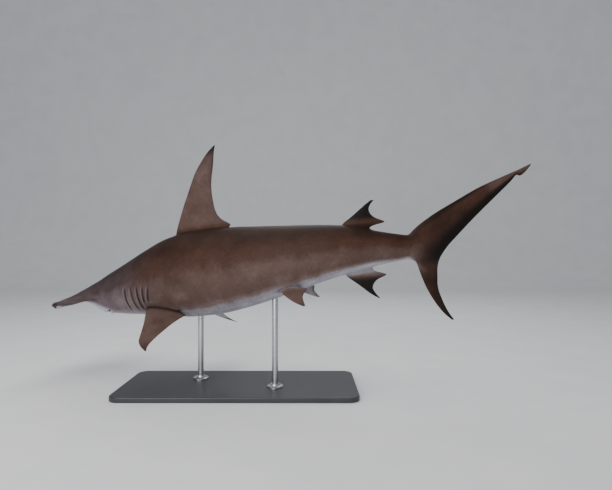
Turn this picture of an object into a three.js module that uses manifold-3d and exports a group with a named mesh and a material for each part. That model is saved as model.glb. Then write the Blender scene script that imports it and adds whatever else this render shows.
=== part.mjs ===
// Great hammerhead shark, life size, held by a plain display stand.
//
// The animal is first described straight, along its own axis: s runs from the front edge
// of the hammer (0) to the tail (1), y is across (left side negative) and z is up, all as
// fractions of the total length. The axis is then bent into the swimming pose, and each
// section of the body turns with it.
//
// World frame: millimetres, +Z up, the head towards -X, the left side towards -Y, the
// origin at the centre of the underside of the stand's base.

import * as THREE from 'three';
import { mergeVertices } from 'three/addons/utils/BufferGeometryUtils.js';
import Module from 'manifold-3d';

const wasm = await Module();
wasm.setup();

// Driving dimensions
const totalLength = 3400;
const gap = 0.3;

// Pose, in degrees. Positive yaw turns the head away from -Y, positive pitch lowers it.
const pose = {
  trunkYaw: 22,
  headYaw: 8,
  tailYaw: -31,
  caudalYaw: -2,
  trunkPitch: 11.3,
  headPitch: -5,
  tailPitch: -9.8,
  bank: 1,
  headBank: 5,
};

// The body's outline at stations along the axis: top, bottom and half width
const bodyStations = [
  { at: 0.010, top: 0.003, bottom: -0.004, half: 0.070 },
  { at: 0.025, top: 0.0125, bottom: -0.009, half: 0.066 },
  { at: 0.045, top: 0.0235, bottom: -0.020, half: 0.0595 },
  { at: 0.060, top: 0.0305, bottom: -0.037, half: 0.054 },
  { at: 0.076, top: 0.0372, bottom: -0.0473, half: 0.0525 },
  { at: 0.100, top: 0.046, bottom: -0.0508, half: 0.052 },
  { at: 0.130, top: 0.0545, bottom: -0.053, half: 0.053 },
  { at: 0.160, top: 0.064, bottom: -0.0555, half: 0.056 },
  { at: 0.200, top: 0.076, bottom: -0.062, half: 0.0595 },
  { at: 0.250, top: 0.0878, bottom: -0.071, half: 0.0625 },
  { at: 0.290, top: 0.0915, bottom: -0.077, half: 0.063 },
  { at: 0.350, top: 0.0875, bottom: -0.080, half: 0.0615 },
  { at: 0.400, top: 0.080, bottom: -0.077, half: 0.058 },
  { at: 0.450, top: 0.0705, bottom: -0.071, half: 0.053 },
  { at: 0.510, top: 0.0605, bottom: -0.061, half: 0.045 },
  { at: 0.570, top: 0.053, bottom: -0.048, half: 0.0355 },
  { at: 0.610, top: 0.0485, bottom: -0.039, half: 0.029 },
  { at: 0.660, top: 0.0365, bottom: -0.028, half: 0.0205 },
  { at: 0.700, top: 0.0290, bottom: -0.0215, half: 0.0155 },
  { at: 0.722, top: 0.0262, bottom: -0.0185, half: 0.0135 },
  { at: 0.735, top: 0.0365, bottom: -0.0205, half: 0.0125 },
];
const backRoundness = 2.0;
const bellyRoundness = 2.35;

// Where the body is parted, as stations along the axis
const cuts = { nose: 0.010, neck: 0.118, shoulder: 0.24, waist: 0.43, loin: 0.6, tail: 0.735 };

// The hammer
const hammer = {
  halfSpan: 0.118,
  medianNotch: 0.0035,
  sideNotch: 0.0035,
  bow: 0.006,
  tipFront: 0.024,
  tipRear: 0.064,
  rootRear: 0.086,
  tipThickness: 0.0042,
  rootThickness: 0.0088,
  tipRound: 0.92,
  droop: 0.0090,
  droopPower: 1.1,
  sectionFull: 0.80,
  ovalFull: 0.38,
  twist: 0.0038,
};
const eye = {
  radius: 17,
  at: 0.034,
  inset: 13.5,
  lidRadius: 13,
  lidThickness: 3.4,
  swell: 0.0037,
  swellAt: 0.33,
  segments: 16,
};
const mouth = {
  front: 0.060,
  corner: 0.094,
  halfWidth: 0.038,
  slit: 5,
  depth: 15,
  lip: 7.5,
  below: 20,
};
// The gill slits: upper end, how far behind it the lower end lies, middle height, height
const gillSlits = [
  { at: 0.1665, lean: -0.001, middle: -0.0152, height: 0.0440 },
  { at: 0.1830, lean: 0.003, middle: -0.0166, height: 0.0450 },
  { at: 0.1995, lean: 0.000, middle: -0.0186, height: 0.0455 },
  { at: 0.2145, lean: -0.005, middle: -0.0198, height: 0.0430 },
  { at: 0.2290, lean: -0.011, middle: -0.0200, height: 0.0380 },
];
const gill = { slit: 5, depth: 15, bow: 0.006, beyond: 25 };
const nostril = { across: 0.096, length: 48, width: 10, depth: 15, below: 4, turn: 0.12 };

// Fin outlines: [height, leading edge, trailing edge], from the origin of the fin's base.
// The first row lies inside the body.
const finRows = {
  firstDorsal: [
    [-0.024, -0.01, 0.094],
    [-0.012, -0.005, 0.104],
    [-0.0075, -0.0025, 0.1355],
    [0.008, 0.004, 0.1135],
    [0.022, 0.0115, 0.1035],
    [0.037, 0.0205, 0.1005],
    [0.058, 0.0332, 0.1003],
    [0.075, 0.0448, 0.1015],
    [0.096, 0.0588, 0.1068],
    [0.114, 0.072, 0.1132],
    [0.131, 0.0898, 0.118],
    [0.1445, 0.1065, 0.1218],
    [0.1535, 0.123, 0.1257],
  ],
  secondDorsal: [
    [-0.014, -0.006, 0.052],
    [-0.004, -0.002, 0.054],
    [0.001, 0.001, 0.0920],
    [0.005, 0.0060, 0.0740],
    [0.0105, 0.0145, 0.0600],
    [0.018, 0.0240, 0.0520],
    [0.026, 0.0335, 0.0495],
    [0.034, 0.0430, 0.0525],
    [0.0415, 0.0530, 0.0590],
  ],
  anal: [
    [-0.012, -0.006, 0.054],
    [-0.001, -0.003, 0.056],
    [0.003, 0.001, 0.092],
    [0.008, 0.0070, 0.0700],
    [0.016, 0.0180, 0.0560],
    [0.027, 0.0320, 0.0500],
    [0.038, 0.0460, 0.0560],
    [0.046, 0.0600, 0.0630],
  ],
  pectoral: [
    [-0.030, -0.010, 0.0700],
    [-0.002, -0.001, 0.0730],
    [0.005, 0.0040, 0.0985],
    [0.018, 0.0130, 0.0930],
    [0.045, 0.0320, 0.0880],
    [0.074, 0.0500, 0.0868],
    [0.095, 0.0630, 0.0878],
    [0.108, 0.0780, 0.0915],
    [0.117, 0.0940, 0.0970],
  ],
  pelvic: [
    [-0.016, -0.004, 0.043],
    [-0.001, -0.002, 0.045],
    [0.006, 0.004, 0.0660],
    [0.014, 0.012, 0.0600],
    [0.028, 0.025, 0.0540],
    [0.040, 0.038, 0.0560],
    [0.050, 0.053, 0.0580],
  ],
  lowerCaudal: [
    [-0.012, 0.000, 0.055],
    [0.004, 0.003, 0.0510],
    [0.020, 0.009, 0.0450],
    [0.045, 0.019, 0.0440],
    [0.075, 0.036, 0.0530],
    [0.100, 0.056, 0.0660],
    [0.112, 0.070, 0.0750],
  ],
};
// Half thickness and flare at the root, and the grid, of each fin
const finForm = {
  firstDorsal: { root: 22, flare: 14, columns: 10, levels: 14 },
  secondDorsal: { root: 9, flare: 8, columns: 10, levels: 9 },
  anal: { root: 9, flare: 8, columns: 10, levels: 9 },
  pectoral: { root: 19, flare: 12, columns: 10, levels: 12 },
  pelvic: { root: 9, flare: 7, columns: 9, levels: 8 },
  lowerCaudal: { root: 11, flare: 6, columns: 10, levels: 10 },
};
// Where each fin stands on the body; the paired ones also across, up and turned, in degrees
const finPlace = {
  firstDorsal: { at: 0.2687, side: 1 },
  secondDorsal: { at: 0.6039, side: 1 },
  anal: { at: 0.605, side: -1 },
  pectoral: { at: 0.209, across: 0.050, up: -0.041, down: 24, sweep: -0.2, tilt: 15 },
  pelvic: { at: 0.478, across: 0.026, up: -0.048, down: 40, sweep: 0.05, tilt: 3 },
};
// A fin's thickness besides: at its rim, over its whole face, and how fast the flare fades
const finSkin = { edge: 0.8, web: 1.6, flareFade: 24, taper: 0.8 };

// The upper lobe of the tail, from the tail cut backwards: [distance, leading, trailing]
const upperCaudalRows = [
  [0.000, 0.0365, -0.0205],
  [0.006, 0.0418, -0.0212],
  [0.029, 0.0579, -0.0240],
  [0.043, 0.0665, -0.0255],
  [0.050, 0.0705, -0.0150],
  [0.060, 0.0759, -0.0010],
  [0.083, 0.0881, 0.0225],
  [0.124, 0.1096, 0.0613],
  [0.166, 0.1275, 0.0983],
  [0.198, 0.1400, 0.1270],
  [0.206, 0.1430, 0.1355],
  [0.211, 0.1450, 0.1325],
  [0.222, 0.1500, 0.1385],
  [0.236, 0.1560, 0.1530],
];

// The stand
const stand = {
  length: 1500,
  width: 640,
  thickness: 32,
  corner: 60,
  bevel: 6,
  rodRadius: 19,
  rods: [{ name: 'front', at: 0.31 }, { name: 'rear', at: 0.475 }],
  collarRadius: 52,
  collarHeight: 22,
  axisHeight: 700,
  centredAt: 0.40,
};

// A smooth curve through rows of numbers: cubic pieces whose slopes never overshoot
function curveThrough(xs, ys) {
  const steps = xs.slice(1).map((x, i) => (ys[i + 1] - ys[i]) / (x - xs[i]));
  const slopes = xs.map((x, i) => {
    if (i === 0) return steps[0];
    if (i === xs.length - 1) return steps[i - 1];
    if (steps[i - 1] * steps[i] <= 0) return 0;
    const before = xs[i] - xs[i - 1];
    const after = xs[i + 1] - xs[i];
    const a = 2 * after + before;
    const b = after + 2 * before;
    return (a + b) / (a / steps[i - 1] + b / steps[i]);
  });
  return (x) => {
    const t = THREE.MathUtils.clamp(x, xs[0], xs[xs.length - 1]);
    let i = 0;
    while (i < xs.length - 2 && t > xs[i + 1]) i += 1;
    const h = xs[i + 1] - xs[i];
    const u = (t - xs[i]) / h;
    const u2 = u * u;
    const u3 = u2 * u;
    return (2 * u3 - 3 * u2 + 1) * ys[i] + (u3 - 2 * u2 + u) * h * slopes[i]
      + (3 * u2 - 2 * u3) * ys[i + 1] + (u3 - u2) * h * slopes[i + 1];
  };
}

const smooth = (from, to, x) => THREE.MathUtils.smoothstep(x, from, to);
const bump = (x, width) => Math.exp(-((x / width) ** 2));

const stationAt = bodyStations.map((row) => row.at);
const topOf = curveThrough(stationAt, bodyStations.map((row) => row.top));
const bottomOf = curveThrough(stationAt, bodyStations.map((row) => row.bottom));
const halfOf = curveThrough(stationAt, bodyStations.map((row) => row.half));

// The bent axis: each station has a point and the directions tailwards, left and up
function bendAxis() {
  const first = -0.04;
  const last = 1.04;
  const count = 540;
  const step = (last - first) / count;
  const frames = [];
  const point = new THREE.Vector3();
  for (let i = 0; i <= count; i += 1) {
    const s = first + i * step;
    const yaw = THREE.MathUtils.degToRad(pose.trunkYaw + pose.headYaw * (1 - smooth(0.09, 0.30, s))
      + pose.tailYaw * smooth(0.42, 0.75, s) + pose.caudalYaw * smooth(0.72, 0.95, s));
    const pitch = THREE.MathUtils.degToRad(pose.trunkPitch
      + pose.headPitch * (1 - smooth(0.09, 0.27, s)) + pose.tailPitch * smooth(0.40, 0.72, s));
    const bank = THREE.MathUtils.degToRad(pose.bank + pose.headBank * (1 - smooth(0.09, 0.30, s)));
    const tailwards = new THREE.Vector3(Math.cos(yaw) * Math.cos(pitch),
      -Math.sin(yaw) * Math.cos(pitch), Math.sin(pitch));
    const level = new THREE.Vector3(-Math.sin(yaw), -Math.cos(yaw), 0);
    const upright = new THREE.Vector3().crossVectors(level, tailwards);
    const left = level.clone().multiplyScalar(Math.cos(bank)).addScaledVector(upright, -Math.sin(bank));
    const up = upright.clone().multiplyScalar(Math.cos(bank)).addScaledVector(level, Math.sin(bank));
    if (i > 0) {
      const half = step * totalLength / 2;
      point.addScaledVector(frames[i - 1].tailwards, half).addScaledVector(tailwards, half);
    }
    frames.push({ point: point.clone(), tailwards, left, up });
  }
  const at = (s, key) => {
    const x = THREE.MathUtils.clamp((s - first) / step, 0, count - 1e-6);
    const i = Math.floor(x);
    return frames[i][key].clone().lerp(frames[i + 1][key], x - i);
  };
  const middle = at(stand.centredAt, 'point');
  const reference = at(0.28, 'point');
  const shift = new THREE.Vector3(-middle.x, -middle.y, stand.axisHeight - reference.z);
  return { at, shift };
}
const axis = bendAxis();

// From the straight animal (fractions along, millimetres across and up) to the world
function posed(s, y, z) {
  return axis.at(s, 'point').add(axis.shift)
    .addScaledVector(axis.at(s, 'left'), -y)
    .addScaledVector(axis.at(s, 'up'), z);
}

// Closed geometry from points and triangles, turned so that its faces point out
function closedGeometry(points, triangles) {
  const geometry = new THREE.BufferGeometry();
  const places = points.flatMap((p) => [p.x, p.y, p.z]);
  geometry.setAttribute('position', new THREE.Float32BufferAttribute(places, 3));
  const volume = triangles.reduce((sum, [a, b, c]) => sum
    + points[a].dot(new THREE.Vector3().crossVectors(points[b], points[c])), 0);
  const turned = volume < 0 ? triangles.map(([a, b, c]) => [a, c, b]) : triangles;
  geometry.setIndex(turned.flat());
  return geometry;
}

// A body from two faces on the same grid, split into triangles alike, and joined at the rim
function shell(faceA, faceB) {
  const rows = faceA.length;
  const columns = faceA[0].length;
  const points = [...faceA.flat(), ...faceB.flat()];
  const a = (i, j) => i * columns + j;
  const b = (i, j) => rows * columns + i * columns + j;
  const triangles = [];
  for (let i = 0; i < rows - 1; i += 1) {
    for (let j = 0; j < columns - 1; j += 1) {
      triangles.push([a(i, j), a(i + 1, j), a(i + 1, j + 1)], [a(i, j), a(i + 1, j + 1), a(i, j + 1)]);
      triangles.push([b(i, j), b(i + 1, j + 1), b(i + 1, j)], [b(i, j), b(i, j + 1), b(i + 1, j + 1)]);
    }
  }
  const rim = [];
  for (let j = 0; j < columns; j += 1) rim.push([0, j]);
  for (let i = 1; i < rows; i += 1) rim.push([i, columns - 1]);
  for (let j = columns - 2; j >= 0; j -= 1) rim.push([rows - 1, j]);
  for (let i = rows - 2; i > 0; i -= 1) rim.push([i, 0]);
  rim.forEach(([i, j], k) => {
    const [m, n] = rim[(k + 1) % rim.length];
    triangles.push([a(i, j), a(m, n), b(m, n)], [a(i, j), b(m, n), b(i, j)]);
  });
  return closedGeometry(points, triangles);
}

// A body from rings of points, closed by a fan at each end
function loft(rings) {
  const count = rings[0].length;
  const points = rings.flat();
  const triangles = [];
  for (let i = 0; i < rings.length - 1; i += 1) {
    for (let k = 0; k < count; k += 1) {
      const a = i * count + k;
      const b = i * count + (k + 1) % count;
      triangles.push([a, b, b + count], [a, b + count, a + count]);
    }
  }
  [[0, rings[0]], [(rings.length - 1) * count, rings[rings.length - 1]]].forEach(([start, ring], end) => {
    const hub = points.length;
    points.push(ring.reduce((sum, p) => sum.add(p), new THREE.Vector3()).divideScalar(count));
    for (let k = 0; k < count; k += 1) {
      const pair = [start + k, start + (k + 1) % count];
      triangles.push(end === 0 ? [hub, pair[1], pair[0]] : [hub, pair[0], pair[1]]);
    }
  });
  return closedGeometry(points, triangles);
}

function solid(geometry) {
  const bare = geometry.clone();
  bare.deleteAttribute('normal');
  bare.deleteAttribute('uv');
  const merged = mergeVertices(bare);
  return new wasm.Manifold(new wasm.Mesh({
    numProp: 3,
    vertProperties: new Float32Array(merged.attributes.position.array),
    triVerts: new Uint32Array(merged.index.array),
  }));
}

// The largest closed surface of a solid
function toGeometry(manifold) {
  const pieces = manifold.decompose().sort((a, b) => b.volume() - a.volume());
  const mesh = pieces[0].getMesh();
  const geometry = new THREE.BufferGeometry();
  geometry.setAttribute('position', new THREE.BufferAttribute(new Float32Array(mesh.vertProperties), 3));
  geometry.setIndex(new THREE.BufferAttribute(new Uint32Array(mesh.triVerts), 1));
  return geometry;
}

const join = (...geometries) => geometries.map(solid).reduce((sum, next) => sum.add(next));

// The trunk's section at a station: round above, fuller below
function bodySide(s, height, grow = 0) {
  const top = topOf(s) * totalLength + grow;
  const bottom = bottomOf(s) * totalLength - grow;
  const middle = (top + bottom) / 2 - 0.06 * (top - bottom);
  const roundness = height > middle ? backRoundness : bellyRoundness;
  const reach = height > middle ? top - middle : middle - bottom;
  const share = Math.min(1, Math.abs(height - middle) / reach);
  return (halfOf(s) * totalLength + grow) * (1 - share ** roundness) ** (1 / roundness);
}

function bodyRing(s, count, grow) {
  const top = topOf(s) * totalLength + grow;
  const bottom = bottomOf(s) * totalLength - grow;
  const middle = (top + bottom) / 2 - 0.06 * (top - bottom);
  const half = halfOf(s) * totalLength + grow;
  const ring = [];
  for (let k = 0; k < count; k += 1) {
    const angle = 2 * Math.PI * k / count;
    const roundness = Math.sin(angle) > 0 ? backRoundness : bellyRoundness;
    const reach = Math.sin(angle) > 0 ? top - middle : middle - bottom;
    const across = Math.sign(Math.cos(angle)) * Math.abs(Math.cos(angle)) ** (2 / roundness);
    const above = Math.sign(Math.sin(angle)) * Math.abs(Math.sin(angle)) ** (2 / roundness);
    ring.push(posed(s, half * across, middle + reach * above));
  }
  return ring;
}

function bodyLength(from, to, rows, count, grow = 0) {
  const rings = [];
  for (let i = 0; i <= rows; i += 1) {
    rings.push(bodyRing(from + (to - from) * i / rows, count, grow));
  }
  return loft(rings);
}

// Half thickness of a fin along its chord, 0 at the leading and 1 at the trailing edge:
// a round nose, thickest at about a third, then a long taper
function finSection(c) {
  return 10 * (0.2969 * Math.sqrt(c) - 0.1260 * c - 0.3516 * c ** 2 + 0.2843 * c ** 3 - 0.1036 * c ** 4);
}

// A fin on its own grid. place gives the straight animal's point for a distance along the
// chord, a height and a half thickness.
function fin({ rows, levels, columns, thickness, place, grow = 0 }) {
  const heights = rows.map((row) => row[0]);
  const lead = curveThrough(heights, rows.map((row) => row[1]));
  const trail = curveThrough(heights, rows.map((row) => row[2]));
  const faceA = [];
  const faceB = [];
  levels.forEach((height) => {
    const from = lead(height) * totalLength - grow;
    const to = trail(height) * totalLength + grow;
    const rowA = [];
    const rowB = [];
    for (let j = 0; j <= columns; j += 1) {
      const c = (1 - Math.cos(Math.PI * j / columns)) / 2;
      const along = from + (to - from) * c;
      const half = Math.max(finSkin.edge, thickness(height, c)) + grow;
      rowA.push(place(along, height * totalLength, half));
      rowB.push(place(along, height * totalLength, -half));
    }
    faceA.push(rowA);
    faceB.push(rowB);
  });
  return shell(faceA, faceB);
}

// Levels from the root to the tip, closer together at both ends
function levelsOf(rows, count) {
  const low = rows[0][0];
  const base = rows[1][0];
  const free = rows[2][0];
  const tip = rows[rows.length - 1][0];
  const levels = [low, base, free];
  for (let i = 1; i <= count; i += 1) {
    levels.push(free + (tip - free) * Math.sin(Math.PI / 2 * i / count) ** 1.15);
  }
  return levels;
}

// A fin by name: its thickness flares at the root and thins to the tip
function namedFin(name, place) {
  const rows = finRows[name];
  const { root, flare, columns, levels } = finForm[name];
  const tipHeight = rows[rows.length - 1][0];
  const thickness = (height, c) => {
    const v = THREE.MathUtils.clamp(height / tipHeight, 0, 1);
    const body = root * (1 - v) ** finSkin.taper + finSkin.web;
    const foot = flare * Math.exp(-Math.max(0, height) * totalLength / finSkin.flareFade);
    return (body + foot) * finSection(c);
  };
  return fin({ rows, columns, levels: levelsOf(rows, levels), thickness, place });
}

// A fin on the middle line, up (side 1) or down (side -1)
function middleFin(name) {
  const { at, side } = finPlace[name];
  const base = (side > 0 ? topOf(at) : bottomOf(at)) * totalLength;
  return namedFin(name, (along, height, half) => {
    const s = at + along / totalLength;
    return posed(s, half, base + side * height);
  });
}

// A paired fin: its base line on the flank, its height out and down at an angle
function pairedFin(name, side) {
  const { at, across, up, down, sweep, tilt } = finPlace[name];
  const droop = THREE.MathUtils.degToRad(down);
  const nose = THREE.MathUtils.degToRad(tilt);
  const chord = new THREE.Vector3(Math.cos(nose), 0, -Math.sin(nose));
  const span = new THREE.Vector3(sweep, side * Math.cos(droop), -Math.sin(droop)).normalize();
  const normal = new THREE.Vector3().crossVectors(chord, span).normalize();
  return namedFin(name, (along, height, half) => {
    const p = new THREE.Vector3(0, side * across * totalLength, up * totalLength)
      .addScaledVector(chord, along).addScaledVector(span, height).addScaledVector(normal, half);
    return posed(at + p.x / totalLength, p.y, p.z);
  });
}

// The hammer's outline seen from above: front and rear edge at a share of the half span
function hammerFront(q) {
  return hammer.medianNotch * bump(q, 0.11) + hammer.bow * q ** 2
    + hammer.sideNotch * bump(q - 0.80, 0.06)
    + (hammer.tipFront - hammer.bow) * smooth(0.86, 1, q) ** 1.4;
}

function hammerRear(q) {
  const fillet = 0.030 * Math.exp(-Math.max(0, q - 0.36) / 0.09);
  const sweep = (hammer.rootRear - hammer.tipRear - 0.008) * (1 - q) ** 1.2;
  return hammer.tipRear + sweep + fillet - 0.008 * smooth(0.9, 1, q) ** 2 + 0.004 * bump(q - 0.9, 0.08);
}

function hammerThickness(q) {
  const round = q > hammer.tipRound
    ? Math.sqrt(Math.max(0, 1 - ((q - hammer.tipRound) / (1 - hammer.tipRound)) ** 2)) : 1;
  return (hammer.tipThickness + hammer.rootThickness * (1 - q) ** 1.2) * totalLength * round;
}

// The hammer's middle surface droops towards the tips, and its rear edge is turned down
function hammerMiddle(q, c) {
  const twist = hammer.twist * c ** 2 * smooth(0.30, 0.55, q) * (1 - smooth(0.80, 1, q));
  return -(hammer.droop * q ** hammer.droopPower + twist) * totalLength;
}

// Upper or lower surface of the hammer, above (1) or below (-1) its middle
function hammerSurface(q, c, side) {
  const full = hammer.sectionFull * finSection(c) + hammer.ovalFull * Math.sqrt(c * (1 - c));
  const aboutEye = bump(q - 0.95, 0.07) * bump(c - eye.swellAt, 0.25) * Math.sqrt(1 - q ** 8);
  const half = Math.max(finSkin.edge, hammerThickness(q) * full + eye.swell * totalLength * aboutEye);
  return hammerMiddle(q, c) + side * half;
}

function hammerGeometry(spanSteps, chordSteps) {
  const faces = [1, -1].map((side) => {
    const face = [];
    for (let i = 0; i <= spanSteps; i += 1) {
      const across = Math.sin(Math.PI * (i / spanSteps - 0.5));
      const q = Math.abs(across);
      const row = [];
      for (let j = 0; j <= chordSteps; j += 1) {
        const c = (1 - Math.cos(Math.PI * j / chordSteps)) / 2;
        const s = hammerFront(q) + (hammerRear(q) - hammerFront(q)) * c;
        row.push(posed(s, across * hammer.halfSpan * totalLength, hammerSurface(q, c, side)));
      }
      face.push(row);
    }
    return face;
  });
  return shell(faces[0], faces[1]);
}

// The head's underside at a point: the lower of the hammer and the head
function undersideAt(s, across) {
  const q = Math.min(1, Math.abs(across) / hammer.halfSpan);
  const c = (s - hammerFront(q)) / (hammerRear(q) - hammerFront(q));
  const wing = c > 0 && c < 1 ? hammerSurface(q, c, -1) : 0;
  const top = topOf(s) * totalLength;
  const bottom = bottomOf(s) * totalLength;
  const middle = (top + bottom) / 2 - 0.06 * (top - bottom);
  const share = Math.min(1, Math.abs(across) / halfOf(s));
  const belly = middle - (middle - bottom) * (1 - share ** bellyRoundness) ** (1 / bellyRoundness);
  return Math.min(wing, belly);
}

// Half the width and the station of the mouth's line at t from -1 (left) to 1 (right)
function mouthLine(t, offset) {
  const across = mouth.halfWidth * t;
  const s = mouth.front + (mouth.corner - mouth.front) * t ** 2;
  const slope = 2 * (mouth.corner - mouth.front) * t / mouth.halfWidth;
  const length = Math.hypot(1, slope);
  return { s: s - offset / totalLength / length, across: across + offset / totalLength * slope / length };
}

function mouthSlit() {
  const steps = 26;
  const faces = [1, -1].map((side) => {
    const face = [];
    for (let i = 0; i <= steps; i += 1) {
      const t = -1.04 + 2.08 * i / steps;
      const { s, across } = mouthLine(t, side * mouth.slit / 2);
      const surface = undersideAt(s, across);
      face.push([posed(s, across * totalLength, surface - mouth.below),
        posed(s, across * totalLength, surface + mouth.depth)]);
    }
    return face;
  });
  return shell(faces[0], faces[1]);
}

// A lip: a tapered roll along the mouth's line, half sunk into the skin
function lip(offset) {
  const steps = 18;
  const sides = 6;
  const rings = [];
  for (let i = 0; i <= steps; i += 1) {
    const t = -1.06 + 2.12 * i / steps;
    const radius = mouth.lip * (0.35 + 0.65 * Math.sqrt(Math.max(0, 1 - (t / 1.07) ** 2)));
    const ring = [];
    for (let k = 0; k < sides; k += 1) {
      const angle = 2 * Math.PI * k / sides;
      const { s, across } = mouthLine(t, offset + radius * Math.cos(angle));
      const centre = undersideAt(mouthLine(t, offset).s, mouthLine(t, offset).across) + 0.45 * radius;
      ring.push(posed(s, across * totalLength, centre + radius * Math.sin(angle)));
    }
    rings.push(ring);
  }
  return loft(rings);
}

function gillSlit({ at, lean, middle, height }, side) {
  const steps = 5;
  const faces = [1, -1].map((face) => {
    const rows = [];
    for (let i = 0; i <= steps; i += 1) {
      const v = i / steps;
      const z = (middle + height * (v - 0.5)) * totalLength;
      const s = at + lean * (1 - v) - gill.bow * (0.25 - (v - 0.5) ** 2)
        + face * gill.slit / 2 / totalLength * Math.sin(Math.PI * (0.12 + 0.76 * v));
      const surface = bodySide(s, z);
      rows.push([surface - gill.depth, surface + gill.beyond].map((y) => posed(s, side * y, z)));
    }
    return rows;
  });
  return shell(faces[0], faces[1]);
}

// A ball at a place on the straight animal, stretched along, across and up
function ball(s, y, z, radii, turn = 0, segments = 16) {
  const geometry = new THREE.SphereGeometry(1, segments, Math.round(segments * 0.6));
  geometry.scale(radii[0], radii[1], radii[2]);
  geometry.rotateZ(turn);
  return moveToHead(geometry, s, y, z);
}

// The hammer does not bend, so a small piece on it is carried by one frame of the axis
function moveToHead(geometry, s, y, z) {
  const matrix = new THREE.Matrix4().makeBasis(axis.at(s, 'tailwards').normalize(),
    axis.at(s, 'left').negate().normalize(), axis.at(s, 'up').normalize());
  matrix.setPosition(posed(s, y, z));
  geometry.applyMatrix4(matrix);
  return geometry;
}

const eyeAcross = hammer.halfSpan * totalLength - eye.inset;
const eyeHeight = -hammer.droop * totalLength;

function eyeBall(side, grow = 0) {
  const radius = eye.radius + grow;
  return ball(eye.at, side * eyeAcross, eyeHeight, [radius, radius, radius], 0, eye.segments);
}

function eyeLids(side) {
  const ring = new THREE.TorusGeometry(eye.lidRadius, eye.lidThickness, 6, 16);
  ring.rotateX(Math.PI / 2);
  const out = Math.sqrt(eye.radius ** 2 - eye.lidRadius ** 2) - 1;
  return moveToHead(ring, eye.at, side * (eyeAcross + out), eyeHeight);
}

function nostrilSlit(side) {
  const q = nostril.across / hammer.halfSpan;
  const radii = [nostril.depth, nostril.length / 2, nostril.width / 2];
  const height = hammerSurface(q, 0.02, -1) - nostril.below;
  return ball(hammerFront(q), side * nostril.across * totalLength, height, radii, side * nostril.turn, 14);
}

const materials = {
  back: new THREE.MeshStandardMaterial({ color: '#6d675f', roughness: 0.62, metalness: 0 }),
  head: new THREE.MeshStandardMaterial({ color: '#7a7670', roughness: 0.62, metalness: 0 }),
  fin: new THREE.MeshStandardMaterial({ color: '#5e5a55', roughness: 0.6, metalness: 0 }),
  eye: new THREE.MeshStandardMaterial({ color: '#15171a', roughness: 0.12, metalness: 0 }),
  metal: new THREE.MeshStandardMaterial({ color: '#8d9196', roughness: 0.35, metalness: 1 }),
  board: new THREE.MeshStandardMaterial({ color: '#2c2e31', roughness: 0.55, metalness: 0 }),
};

const shark = new THREE.Group();
function addPiece(name, geometry, material) {
  const mesh = new THREE.Mesh(geometry, material);
  mesh.name = name;
  shark.add(mesh);
}

const step = gap / totalLength;
const ringPoints = 40;

// The whole body a gap larger, to cut what meets it
const bodyRoom = solid(bodyLength(cuts.nose, cuts.tail, 66, ringPoints, gap));

// Head: the hammer, the head behind it, lids and lips, with mouth, nostrils and eye sockets cut
let head = join(hammerGeometry(32, 10), bodyLength(cuts.nose, cuts.neck, 10, ringPoints),
  eyeLids(-1), eyeLids(1), lip(mouth.slit / 2 + mouth.lip * 0.8), lip(-mouth.slit / 2 - mouth.lip * 0.8));
[mouthSlit(), nostrilSlit(-1), nostrilSlit(1), eyeBall(-1, gap), eyeBall(1, gap)].forEach((cut) => {
  head = head.subtract(solid(cut));
});
addPiece('head_hammer', toGeometry(head), materials.head);
addPiece('eye_left', toGeometry(solid(eyeBall(-1))), materials.eye);
addPiece('eye_right', toGeometry(solid(eyeBall(1))), materials.eye);

// Gill region
let throat = solid(bodyLength(cuts.neck + step, cuts.shoulder, 11, ringPoints));
gillSlits.forEach((slit) => {
  throat = throat.subtract(solid(gillSlit(slit, -1))).subtract(solid(gillSlit(slit, 1)));
});
addPiece('gill_region', toGeometry(throat), materials.back);

// Trunk and tail stock
addPiece('trunk_front', toGeometry(solid(bodyLength(cuts.shoulder + step, cuts.waist, 11, ringPoints))),
  materials.back);
addPiece('trunk_rear', toGeometry(solid(bodyLength(cuts.waist + step, cuts.loin, 10, ringPoints))),
  materials.back);
addPiece('tail_stock', toGeometry(solid(bodyLength(cuts.loin + step, cuts.tail, 11, 36))),
  materials.back);

// Fins on the middle line
[['dorsal_fin_first', 'firstDorsal'], ['dorsal_fin_second', 'secondDorsal'], ['anal_fin', 'anal']]
  .forEach(([node, name]) => {
    addPiece(node, toGeometry(solid(middleFin(name)).subtract(bodyRoom)), materials.fin);
  });

// Paired fins
[['left', -1], ['right', 1]].forEach(([word, side]) => {
  ['pectoral', 'pelvic'].forEach((name) => {
    const paired = solid(pairedFin(name, side)).subtract(bodyRoom);
    addPiece(`${name}_fin_${word}`, toGeometry(paired), materials.fin);
  });
});

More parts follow.
